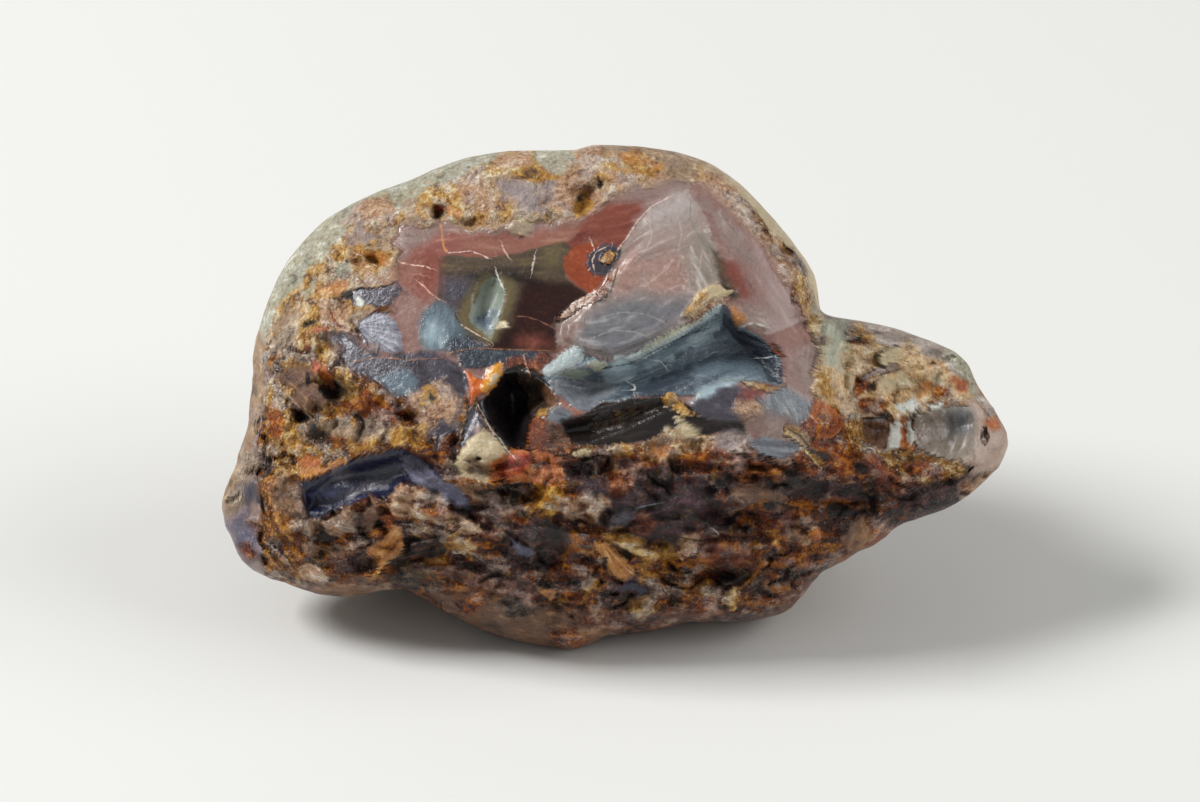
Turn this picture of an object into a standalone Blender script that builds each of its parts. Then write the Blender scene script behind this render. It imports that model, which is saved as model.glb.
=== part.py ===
"""Rough agate nodule: one stone, broken open on one side and rounded on the other.

The stone is described square to its broken face, in millimetres from the middle of that
face: u runs right, v runs up and w runs out of the face. The face leans back from upright,
and the stone rests on a small flat of its underside, at z = 0.
"""

import math
from dataclasses import dataclass

import bmesh
import bpy
import numpy as np
from mathutils import Vector, noise

MM = 0.001

# Driving dimensions, in millimetres and degrees.
FACE_LEAN = 30.0
FACE_CENTRE_HEIGHT = 21.6
FACE_TAPER = 0.002
RIM_SQUARENESS = 7.0
BACK_SQUARENESS = 2.6
SWELL_REACH = 5.0
BACK_REACH = 9.0
OUTLINE_EASING = 14.0
STEP_EASING = 0.7
LEAST_POWER = 4.0
GREATEST_POWER = 120.0
SPHERE_DIVISIONS = 6
FRONT_EDGE = 0.95
REFINING_ROUNDS = 2
WEATHERING = 0.5
TRIANGLES = 9600
CUTTER_SIZE = 200.0

# The stone's outline seen square to the broken face, clockwise from the top.
OUTLINE = (
    (-1.0, 25.5), (2.0, 25.4), (5.0, 25.2), (8.0, 24.7), (11.0, 23.7), (14.0, 21.6), (17.0, 18.5),
    (19.5, 15.5), (21.5, 12.5), (21.9, 10.0), (22.1, 8.5), (24.5, 8.1), (27.5, 7.7), (30.5, 6.8),
    (33.5, 5.7), (36.5, 4.4), (37.6, 1.5), (38.5, 0.3), (40.3, -2.4), (41.0, -4.2), (40.6, -5.6),
    (38.0, -8.6), (34.5, -11.1), (30.5, -12.0), (26.0, -15.3), (23.0, -16.6), (21.5, -18.0),
    (20.0, -20.0), (18.5, -21.3), (15.5, -22.0), (9.5, -22.1), (3.5, -23.2), (0.5, -23.6),
    (-1.0, -24.4), (-3.5, -24.8), (-8.5, -24.0), (-14.5, -21.7), (-17.5, -20.0), (-20.2, -18.6),
    (-22.0, -19.0), (-26.5, -19.9), (-29.0, -19.0), (-34.2, -17.4), (-36.0, -16.1), (-36.6, -14.5),
    (-37.9, -10.5), (-37.2, -8.5), (-35.4, -4.0), (-34.7, 2.0), (-34.3, 6.5), (-33.3, 9.5),
    (-32.1, 12.5), (-30.2, 15.3), (-27.8, 17.8), (-25.0, 19.5), (-19.0, 21.9), (-13.0, 24.3),
    (-10.0, 24.8), (-5.5, 24.9), (-2.2, 24.9),
)

# How far the broken side stands out of the rim plane: u, v and height.
FRONT_HEIGHTS = (
    (-30, 12, 5.5), (-24, 16, 6.0), (-14, 20, 6.5), (-4, 21, 7.5), (6, 21, 8.0), (14, 17, 8.5),
    (-26, 6, 9.0), (-18, 11, 9.5), (-8, 13, 10.0), (2, 14, 10.5), (10, 13, 10.5), (18, 9, 10.0),
    (-31, 2, 7.5), (-24, -1, 11.0), (-15, 4, 11.0), (-6, 5, 11.0), (4, 5, 12.0), (12, 5, 12.0),
    (20, 4, 10.5), (-17, -3, 13.0), (-8, -4, 13.5), (2, -2, 13.5), (11, -2, 14.0), (19, -2, 12.5),
    (-34, -6, 5.5), (-28, -7, 11.0), (-20, -8, 14.0), (-11, -8, 15.0), (-2, -8, 15.0),
    (8, -6, 15.0), (16, -6, 14.5), (24, -7, 11.0), (-36, -12, 3.5), (-30, -13, 9.0),
    (-21, -14, 10.5), (-12, -14, 12.0), (-3, -14, 12.0), (7, -13, 12.0), (16, -13, 11.0),
    (24, -12, 7.0), (-27, -18, 5.0), (-17, -19, 5.5), (-8, -21, 5.5), (2, -20, 6.0),
    (11, -20, 5.5), (18, -19, 4.5), (25, 4, 7.5), (32, 3, 6.5), (37, -3, 5.0), (30, -3, 8.0),
    (32, -9, 5.5),
)

# How far the rounded side stands back from the rim plane: u, v and depth.
BACK_DEPTHS = (
    (-30, -10, 14), (-28, 8, 15), (-15, 14, 19), (-12, -4, 23), (4, 4, 24), (12, 14, 17),
    (8, -12, 22), (22, -6, 15), (33, -3, 9), (39, -5, 7),
)


@dataclass(frozen=True)
class Carving:
    """A ledge, hollow or vug of the broken side.

    rise is how far its floor stands out of the surface (negative is cut in), wall is how
    wide its sloping edge is, and full_at and gone_at, where given, are the points between
    which the carving dies out.
    """

    outline: tuple
    rise: float
    wall: float
    full_at: tuple = ()
    gone_at: tuple = ()


CARVINGS = {
    "right_lobe_drop": Carving(
        ((22.2, 12), (22.0, 4), (22.2, -1), (21.2, -4.5), (23, -9), (30, -14), (46, -10), (46, 12)),
        -4.0, 2.6, (26, 1), (26, -9),
    ),
    "pale_facet": Carving(
        ((-3.8, 7.8), (0, 11.2), (4, 16), (9, 21), (12.2, 16.8), (13.5, 11.2), (11.8, 9.5),
         (6.8, 6.4), (1.2, 4), (-2, 4.8), (-4, 6)),
        1.1, 0.8, (-3, 8), (8, 19),
    ),
    "slate_pocket": Carving(
        ((-5.2, 1.5), (-4, 2.8), (-1, 3.8), (1.2, 3.8), (4, 4.8), (6.8, 6.4), (9, 7.8), (11.8, 9.5),
         (12.8, 9.0), (16, 7), (18, 5.2), (18.4, 1.2), (14.5, 2.2), (12, 2.3), (9.5, 1.5), (6, 0.5),
         (2.5, -0.2), (-1, -1.5), (-3, -0.8)),
        -3.4, 2.6,
    ),
    "black_hollow": Carving(
        ((-10, 2.8), (-8, 3.2), (-5.2, 2.3), (-4.4, 0.8), (-3.6, -0.4), (-5.2, -1.5), (-6.8, -2.5),
         (-7.2, -4.8), (-8.8, -5.6), (-10, -4), (-11.2, -2.5), (-12.1, -0.2)),
        -4.4, 2.2,
    ),
    "smoky_channel": Carving(
        ((-4.5, -2), (0, -0.8), (4, 0.2), (8, 0.5), (9, -0.8), (6, -1.5), (3, -3), (-1, -4.5),
         (-4.5, -4.6), (-5.5, -3)),
        -1.6, 1.6,
    ),
    "right_scoop": Carving(
        ((24, -2.6), (26, -1.3), (30, -1), (34, -0.4), (37.2, -1), (37.8, -2.6), (36.5, -5.6),
         (33.5, -6.8), (30, -6.2), (27, -5), (25, -4)),
        -2.6, 2.4,
    ),
    "indigo_hollow": Carving(
        ((-30, -9), (-27, -7), (-23, -5.8), (-19, -4.8), (-16, -5.5), (-15, -7), (-17, -8),
         (-20, -8.6), (-20.5, -9.8), (-24, -10.4), (-27, -11.6), (-29.6, -11.4)),
        -1.6, 1.2,
    ),
    "left_cleft": Carving(
        ((-28.2, 3.4), (-25.5, 2.2), (-23.8, 1.4), (-23.4, -0.3), (-25.2, -1.3), (-27.2, -0.4),
         (-28.4, 1)),
        -3.4, 1.4,
    ),
    "left_deep_vug": Carving(
        ((-31.2, -0.4), (-29.4, -0.8), (-28, -1.9), (-29, -3), (-30.6, -2.6)), -3.0, 1.3,
    ),
    "orange_lined_vug": Carving(
        ((-24, 14.6), (-22.6, 14.9), (-21.4, 14.0), (-21.8, 12.9), (-23.2, 13.2)), -2.2, 1.0,
    ),
    "top_vug": Carving(
        ((-17.2, 19.6), (-15.6, 19.9), (-14.8, 18.6), (-15.6, 17.4), (-17, 17.8)), -2.2, 1.1,
    ),
    "twin_vug": Carving(
        ((-2.9, 20.6), (-0.5, 22.6), (1.2, 22.2), (0.6, 20), (-1.4, 18.2), (-2.8, 18.4)), -1.6, 1.1,
    ),
    "chip_hollow": Carving(
        ((-12.2, 12.4), (-10, 13.2), (-9.4, 10.5), (-10.2, 8), (-11.6, 6.4), (-13, 8.2), (-13, 10.6)),
        -1.0, 1.2,
    ),
    "cream_plate": Carving(
        ((-12, -0.2), (-10.8, -3.2), (-8.8, -5.5), (-10.5, -7.5), (-14.2, -7.2), (-14.5, -5.5),
         (-13, -2.5)),
        0.9, 1.2,
    ),
    "fibrous_vug": Carving(
        ((-11.2, -9), (-9.5, -7.8), (-7, -7.5), (-5.2, -8.5), (-4.7, -10), (-6.5, -11.2),
         (-9.5, -11.2), (-11, -10.3)),
        -1.6, 1.2,
    ),
    "left_undercut": Carving(
        ((-20.2, -16), (-17, -14), (-13, -14.5), (-11, -16), (-14, -17.2), (-18, -17.5)), -2.2, 1.6,
    ),
    "right_undercut": Carving(
        ((8.8, -11.5), (10.5, -9.7), (13.5, -10), (16, -11), (19, -10.8), (17.5, -12.5),
         (14.5, -13.5), (11.5, -13.2)),
        -2.2, 1.3,
    ),
    "lobe_undercut": Carving(
        ((20, -9.6), (24, -9), (28, -10), (25, -11.4), (21, -11.2)), -2.0, 1.3,
    ),
    "lower_right_vug": Carving(
        ((5.2, -16), (8, -15), (11, -16), (13.5, -15.2), (14, -18), (11.5, -19), (8, -18.2)),
        -1.6, 1.2,
    ),
    "ridge_crest": Carving(
        ((3.8, -5.6), (7, -4), (12, -4.3), (17, -4.6), (20.5, -5.4), (19, -6.8), (12, -6.4),
         (6, -6.8)),
        1.0, 1.3,
    ),
}

# The smooth agate inside the rough crust.
HEART = (
    (-25, 8), (-24, 12.5), (-20, 17), (-14, 16.8), (-8, 16), (-3, 18), (3, 19), (9, 21.5), (14, 19),
    (17.5, 13), (20, 6), (21.5, -1), (20.5, -5), (12, -3.6), (2, -4.8), (-6, -5.5), (-14, -3.5),
    (-20, 0), (-25, 4),
)

CRUST_LUMP = 0.75
CRUST_LUMP_SIZE = 4.2
CRUST_PIT = 1.1
CRUST_PIT_SIZE = 5.2
LEDGE_RELIEF = 0.9
LEDGE_LENGTH = 9.0
LEDGE_SPACING = 2.6
RIND_SWELL = 2.0
RIND_SWELL_SIZE = 15.0
RIND_DENT = 0.7
RIND_DENT_SIZE = 5.5


def smooth_step(low, high, value):
    """0 below low, 1 above high and a smooth ramp between."""
    share = np.clip((value - low) / (high - low), 0.0, 1.0)
    return share * share * (3.0 - 2.0 * share)


def inside_distance(points, outline):
    """Distance of each point to a closed outline, positive inside it."""
    start = np.array(outline, float)
    step = np.roll(start, -1, axis=0) - start
    offset = points[:, None, :] - start[None]
    along = np.clip((offset * step).sum(2) / (step**2).sum(1), 0.0, 1.0)
    gap = np.linalg.norm(offset - along[..., None] * step, axis=2).min(1)
    end = start + step
    spans = (start[:, 1] > points[:, None, 1]) != (end[:, 1] > points[:, None, 1])
    rise = np.where(step[:, 1] == 0, 1.0, step[:, 1])
    crossing = offset[..., 1] / rise * step[:, 0] > offset[..., 0]
    inside = (spans & crossing).sum(1) % 2 == 1
    return np.where(inside, gap, -gap)


def outline_reach(angle):
    """Distance from the middle of the face to the outline, at each angle round it."""
    corner = np.array(OUTLINE)
    bearing = np.arctan2(corner[:, 1], corner[:, 0])
    order = np.argsort(bearing)
    return np.interp(
        angle, bearing[order], np.hypot(*corner.T)[order], period=2.0 * math.pi
    )


def eased_reach(angle):
    """Distance to the outline with its small steps averaged out, for the rounded side."""
    turns = np.radians(np.linspace(-OUTLINE_EASING, OUTLINE_EASING, 9))
    return np.mean([outline_reach(angle + turn) for turn in turns], axis=0)


def blended_height(points, heights, reach):
    """Heights given at a few places, blended smoothly between them."""
    table = np.array(heights, float)
    gap = points[:, None, :] - table[None, :, :2]
    weight = np.exp(-(gap**2).sum(2) / (2.0 * reach**2)) + 1e-12
    return (weight * table[:, 2]).sum(1) / weight.sum(1)


def noise_at(points, size, seed=0.0):
    """Smooth noise from -1 to 1 whose features are about size millimetres across."""
    shift = Vector((seed, 2.0 * seed, -seed))
    return np.array([noise.noise(Vector(p) / size + shift) for p in points.tolist()])


def pits_at(points, size, seed=0.0):
    """1 in the middle of scattered round pits, falling to 0 between them."""
    shift = Vector((seed, -seed, seed))
    nearest = [noise.voronoi(Vector(p) / size + shift)[0][0] for p in points.tolist()]
    return 1.0 - smooth_step(0.12, 0.42, np.array(nearest))


def carved(plane):
    """The sum of all carvings at points of the face plane."""
    total = np.zeros(len(plane))
    for carving in CARVINGS.values():
        depth = inside_distance(plane, carving.outline)
        amount = carving.rise * smooth_step(0.0, carving.wall, depth)
        if carving.full_at:
            run = np.subtract(carving.gone_at, carving.full_at)
            along = (plane - np.array(carving.full_at)) @ run / (run @ run)
            amount *= 1.0 - smooth_step(0.0, 1.0, along)
        total += amount
    return total


def crust_relief(plane):
    """Lumps, pits and flat-lying ledges of the rough crust round the smooth agate."""
    flat = np.column_stack([plane, np.zeros(len(plane))])
    rough = 1.0 - smooth_step(-1.0, 0.5, inside_distance(plane, HEART))
    lumps = CRUST_LUMP * noise_at(flat, CRUST_LUMP_SIZE, 3.0)
    pits = -CRUST_PIT * pits_at(flat, CRUST_PIT_SIZE, 7.0)
    layered = flat * (1.0, LEDGE_LENGTH / LEDGE_SPACING, 1.0)
    low_face = 1.0 - smooth_step(-7.0, -4.0, plane[:, 1])
    ledges = LEDGE_RELIEF * noise_at(layered, LEDGE_LENGTH, 11.0) * low_face
    return rough * (lumps + pits + ledges)


def front_surface(plane, share):
    """Height of the broken side; share is 0 at the middle of the face and 1 at the rim."""
    closing = (1.0 - share**RIM_SQUARENESS) ** 0.4
    form = blended_height(plane, FRONT_HEIGHTS, SWELL_REACH)
    return closing * (form + carved(plane) + crust_relief(plane))


def back_surface(plane, share):
    """Depth of the rounded side, as a negative height."""
    closing = (1.0 - share**BACK_SQUARENESS) ** (1.0 / BACK_SQUARENESS)
    depth = blended_height(plane, BACK_DEPTHS, BACK_REACH)
    body = np.column_stack([plane, -closing * depth])
    swell = RIND_SWELL * noise_at(body, RIND_SWELL_SIZE, 5.0)
    dents = RIND_DENT * noise_at(body, RIND_DENT_SIZE, 9.0)
    return -closing * (depth + swell + dents)


def stone_points(directions):
    """Carries directions from the middle of the stone to its surface, as (u, v, w)."""
    angle = np.arctan2(directions[:, 1], directions[:, 0])
    share = np.minimum(np.hypot(directions[:, 0], directions[:, 1]), 1.0)
    front = directions[:, 2] > 0
    sharp = outline_reach(angle)
    eased = eased_reach(angle)
    step = sharp - eased
    power = STEP_EASING * eased / np.maximum(np.abs(step), 0.01) - 1.0
    behind = eased + step * share ** np.clip(power, LEAST_POWER, GREATEST_POWER)
    reach = np.where(front, sharp, behind) * share
    plane = np.column_stack([reach * np.cos(angle), reach * np.sin(angle)])
    height = np.zeros(len(directions))
    height[front] = front_surface(plane[front], share[front])
    height[~front] = back_surface(plane[~front], share[~front])
    return np.column_stack([plane * (1.0 - FACE_TAPER * height)[:, None], height])


def in_room(stone):
    """Turns (u, v, w) in millimetres to upright metres, leaning the face back."""
    lean = math.radians(FACE_LEAN)
    u, v, w = stone.T
    x = u
    y = v * math.sin(lean) - w * math.cos(lean)
    z = FACE_CENTRE_HEIGHT + v * math.cos(lean) + w * math.sin(lean)
    return np.column_stack([x, y, z]) * MM


def directions_of(bm):
    """The sphere's vertices as unit directions."""
    found = np.array([v.co[:] for v in bm.verts])
    return found / np.linalg.norm(found, axis=1)[:, None]


def refine_front(bm):
    """Splits the sphere's edges that come out long on the broken side."""
    for _ in range(REFINING_ROUNDS):
        bm.verts.index_update()
        stone = stone_points(directions_of(bm))
        long_edges = []
        for edge in bm.edges:
            a, b = (v.index for v in edge.verts)
            on_front = min(stone[a, 2], stone[b, 2]) > 0.5
            if on_front and np.linalg.norm(stone[a] - stone[b]) > FRONT_EDGE:
                long_edges.append(edge)
        bmesh.ops.subdivide_edges(bm, edges=long_edges, cuts=1, use_grid_fill=True)
        bmesh.ops.triangulate(bm, faces=bm.faces[:])


def weather(bm):
    """Rounds the broken side's edges a little, leaving the rim and the back alone."""
    bm.normal_update()
    broken = [v for v in bm.verts if v.normal.y < -0.15]
    bmesh.ops.smooth_vert(
        bm, verts=broken, factor=WEATHERING, use_axis_x=True, use_axis_y=True, use_axis_z=True
    )


def stone_mesh():
    """The whole stone as one closed mesh, before its resting flat is cut."""
    bm = bmesh.new()
    bmesh.ops.create_icosphere(bm, subdivisions=SPHERE_DIVISIONS, radius=1.0)
    refine_front(bm)
    for vertex, place in zip(bm.verts, in_room(stone_points(directions_of(bm)))):
        vertex.co = place
    weather(bm)
    mesh = bpy.data.meshes.new("agate_nodule")
    bm.to_mesh(mesh)
    bm.free()
    return mesh


def ground_cutter():
    """A block below z = 0 that cuts the resting flat."""
    bm = bmesh.new()
    bmesh.ops.create_cube(bm, size=CUTTER_SIZE * MM)
    bmesh.ops.translate(bm, verts=bm.verts, vec=(0.0, 0.0, -CUTTER_SIZE * MM / 2.0))
    mesh = bpy.data.meshes.new("ground_cutter")
    bm.to_mesh(mesh)
    bm.free()
    cutter = bpy.data.objects.new("ground_cutter", mesh)
    cutter.hide_render = True
    cutter.display_type = "WIRE"
    bpy.context.scene.collection.objects.link(cutter)
    return cutter


def thinned_and_cut(stone):
    """Thins the mesh to its budget of triangles and cuts the flat on which the stone rests."""
    thin = stone.modifiers.new("thin", "DECIMATE")
    thin.ratio = TRIANGLES / len(stone.data.polygons)
    flat = stone.modifiers.new("resting_flat", "BOOLEAN")
    flat.operation = "DIFFERENCE"
    flat.object = ground_cutter()


def agate_material():
    """Chalcedony: dense quartz with a waxy to glassy break, brown red overall."""
    material = bpy.data.materials.new("agate")
    material.use_nodes = True
    surface = material.node_tree.nodes["Principled BSDF"]
    surface.inputs["Base Color"].default_value = (0.23, 0.12, 0.08, 1.0)
    surface.inputs["Roughness"].default_value = 0.35
    surface.inputs["Metallic"].default_value = 0.0
    return material


def main():
    """Clears the scene and makes the stone."""
    for old in list(bpy.data.objects):
        bpy.data.objects.remove(old)
    stone = bpy.data.objects.new("agate_nodule", stone_mesh())
    stone.data.materials.append(agate_material())
    bpy.context.scene.collection.objects.link(stone)
    thinned_and_cut(stone)


main()
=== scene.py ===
"""Looks of a rough agate nodule that is broken open towards the viewer.

The stone keeps the form of its CAD solid and gains the finer relief, the mineral zones and the
rind. Places on the broken face are read square to it, in picture coordinates whose tenth is a
millimetre: x runs right and y down, and (600, 400) is the middle of the face.
"""

import logging
import math
from dataclasses import dataclass, field
from enum import Enum
from typing import Any, Callable, Optional, Sequence

import bmesh
import bpy
import numpy as np
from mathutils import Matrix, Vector, noise


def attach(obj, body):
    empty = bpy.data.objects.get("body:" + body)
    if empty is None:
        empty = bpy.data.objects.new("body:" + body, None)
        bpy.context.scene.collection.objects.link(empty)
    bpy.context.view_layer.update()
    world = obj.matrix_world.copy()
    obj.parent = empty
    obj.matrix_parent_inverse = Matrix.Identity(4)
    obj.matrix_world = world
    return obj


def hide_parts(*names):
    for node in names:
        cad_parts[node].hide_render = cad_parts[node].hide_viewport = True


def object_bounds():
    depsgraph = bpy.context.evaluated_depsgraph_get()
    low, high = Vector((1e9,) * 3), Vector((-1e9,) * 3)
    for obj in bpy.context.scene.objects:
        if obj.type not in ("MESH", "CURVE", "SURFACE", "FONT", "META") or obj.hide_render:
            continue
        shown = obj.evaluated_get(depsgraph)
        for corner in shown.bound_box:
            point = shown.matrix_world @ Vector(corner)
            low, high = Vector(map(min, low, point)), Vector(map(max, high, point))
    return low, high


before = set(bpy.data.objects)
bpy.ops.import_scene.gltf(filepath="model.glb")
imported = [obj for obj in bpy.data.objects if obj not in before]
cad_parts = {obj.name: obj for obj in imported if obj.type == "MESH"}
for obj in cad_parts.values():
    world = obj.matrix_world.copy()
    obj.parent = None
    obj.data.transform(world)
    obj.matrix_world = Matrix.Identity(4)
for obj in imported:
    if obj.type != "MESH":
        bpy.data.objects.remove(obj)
CAD_BOX = [list(corner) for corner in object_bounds()]

log = logging.getLogger("agate")

MM = 0.001
FACE_MIDDLE = (600.0, 400.0)
PIXELS_PER_MM = 10.0
FAR_AWAY = 1000.0
TONE_NAMES = ("dark", "mid", "light")

# Heights of the fine relief between which a break goes from smooth to rough, in millimetres.
SMOOTH_GRAIN = 0.04
ROUGH_GRAIN = 0.22

Points = Sequence[tuple[float, float]]


class Pattern(Enum):
    """How the tones of a zone run."""

    FLECKED = "flecked"
    STREAKED = "streaked"
    RIPPLED = "rippled"
    FANNED = "fanned"
    BANDED = "banded"


@dataclass(frozen=True)
class Finish:
    """One mineral of the stone, in three tones, and how its surface broke.

    Attributes:
        dark, mid, light: sRGB colours in hex.
        roughness: 0.2 is a glassy break and 0.8 is chalk.
        grain: height of its fine relief, in millimetres.
        sugar_and_glint: how thickly its crystal grains show, dark or with a painted glint, from 0 to 1.
    """

    dark: str
    mid: str
    light: str
    roughness: float = 0.55
    grain: float = 0.10
    sugar_and_glint: float = 0.0

    @property
    def looks(self) -> tuple[float, float, float]:
        """What is stored at the mesh's points besides the tones."""
        return self.roughness, self.grain, self.sugar_and_glint


@dataclass(frozen=True)
class Patch:
    """One zone of the broken face, painted over those before it.

    Attributes:
        finish: its mineral.
        outline: its corners in picture coordinates, as "x,y x,y".
        pattern: how its tones run.
        lie: the angle of its streaks in degrees, or the centre of its ripples or fan.
        rise: how far it stands out of the face, in millimetres; negative is cut in.
        wall: width of its sloping edge, in millimetres.
        soft: half the width over which its colour fades out, in millimetres.
        ragged: how far its edge wanders, in millimetres.
        ripple: height of the ripples of its shell-like break, in millimetres.
    """

    finish: Finish
    outline: str
    pattern: Pattern = Pattern.FLECKED
    lie: tuple[float, ...] = (0.0,)
    rise: float = 0.0
    wall: float = 0.6
    soft: float = 0.14
    ragged: float = 0.4
    ripple: float = 0.0

    @property
    def woven(self) -> float:
        """How much its tones follow their lie instead of a loose mottling, from 0 to 1."""
        return 0.15 if self.pattern is Pattern.FLECKED else 0.75

    @property
    def centre(self) -> np.ndarray:
        """The centre of its ripples or fan, in millimetres from the middle of the face."""
        return on_face([self.lie])[0]


@dataclass(frozen=True)
class Seam:
    """A fine line of the broken face, such as a crack, a vein, a pale edge, a painted highlight along an
    edge, or a painted glint.

    Attributes:
        colour: sRGB colour in hex.
        width: of the line, in tenths of a millimetre.
        points: its course in picture coordinates, as "x,y x,y".
        rise: how far it stands out of the face, in millimetres; negative is cut in.
    """

    colour: str
    width: float
    points: str
    rise: float = 0.0


@dataclass(frozen=True)
class Carving:
    """A ledge, hollow or vug of the CAD solid, in millimetres from the middle of the face.

    Attributes:
        outline: its corners.
        rise: how far it stands out of the face; negative is cut in.
        wall: width of its sloping edge.
        full_at: where it has its whole depth, if it runs out to one side.
        gone_at: where it has run out.
    """

    outline: Points
    rise: float
    wall: float
    full_at: tuple[float, ...] = ()
    gone_at: tuple[float, ...] = ()


# The stone's outline seen square to the broken face, clockwise from the top.
OUTLINE = (
    (-1.0, 25.5), (2.0, 25.4), (5.0, 25.2), (8.0, 24.7), (11.0, 23.7), (14.0, 21.6), (17.0, 18.5),
    (19.5, 15.5), (21.5, 12.5), (21.9, 10.0), (22.1, 8.5), (24.5, 8.1), (27.5, 7.7), (30.5, 6.8),
    (33.5, 5.7), (36.5, 4.4), (37.6, 1.5), (38.5, 0.3), (40.3, -2.4), (41.0, -4.2), (40.6, -5.6),
    (38.0, -8.6), (34.5, -11.1), (30.5, -12.0), (26.0, -15.3), (23.0, -16.6), (21.5, -18.0),
    (20.0, -20.0), (18.5, -21.3), (15.5, -22.0), (9.5, -22.1), (3.5, -23.2), (0.5, -23.6),
    (-1.0, -24.4), (-3.5, -24.8), (-8.5, -24.0), (-14.5, -21.7), (-17.5, -20.0), (-20.2, -18.6),
    (-22.0, -19.0), (-26.5, -19.9), (-29.0, -19.0), (-34.2, -17.4), (-36.0, -16.1), (-36.6, -14.5),
    (-37.9, -10.5), (-37.2, -8.5), (-35.4, -4.0), (-34.7, 2.0), (-34.3, 6.5), (-33.3, 9.5),
    (-32.1, 12.5), (-30.2, 15.3), (-27.8, 17.8), (-25.0, 19.5), (-19.0, 21.9), (-13.0, 24.3),
    (-10.0, 24.8), (-5.5, 24.9), (-2.2, 24.9),
)

# How far the broken side stands out of the rim plane: u, v and height.
FRONT_HEIGHTS = (
    (-30, 12, 5.5), (-24, 16, 6.0), (-14, 20, 6.5), (-4, 21, 7.5), (6, 21, 8.0), (14, 17, 8.5),
    (-26, 6, 9.0), (-18, 11, 9.5), (-8, 13, 10.0), (2, 14, 10.5), (10, 13, 10.5), (18, 9, 10.0),
    (-31, 2, 7.5), (-24, -1, 11.0), (-15, 4, 11.0), (-6, 5, 11.0), (4, 5, 12.0), (12, 5, 12.0),
    (20, 4, 10.5), (-17, -3, 13.0), (-8, -4, 13.5), (2, -2, 13.5), (11, -2, 14.0), (19, -2, 12.5),
    (-34, -6, 5.5), (-28, -7, 11.0), (-20, -8, 14.0), (-11, -8, 15.0), (-2, -8, 15.0),
    (8, -6, 15.0), (16, -6, 14.5), (24, -7, 11.0), (-36, -12, 3.5), (-30, -13, 9.0),
    (-21, -14, 10.5), (-12, -14, 12.0), (-3, -14, 12.0), (7, -13, 12.0), (16, -13, 11.0),
    (24, -12, 7.0), (-27, -18, 5.0), (-17, -19, 5.5), (-8, -21, 5.5), (2, -20, 6.0),
    (11, -20, 5.5), (18, -19, 4.5), (25, 4, 7.5), (32, 3, 6.5), (37, -3, 5.0), (30, -3, 8.0),
    (32, -9, 5.5),
)

# How far the rounded side stands back from the rim plane: u, v and depth.
BACK_DEPTHS = (
    (-30, -10, 14), (-28, 8, 15), (-15, 14, 19), (-12, -4, 23), (4, 4, 24), (12, 14, 17),
    (8, -12, 22), (22, -6, 15), (33, -3, 9), (39, -5, 7),
)

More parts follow.
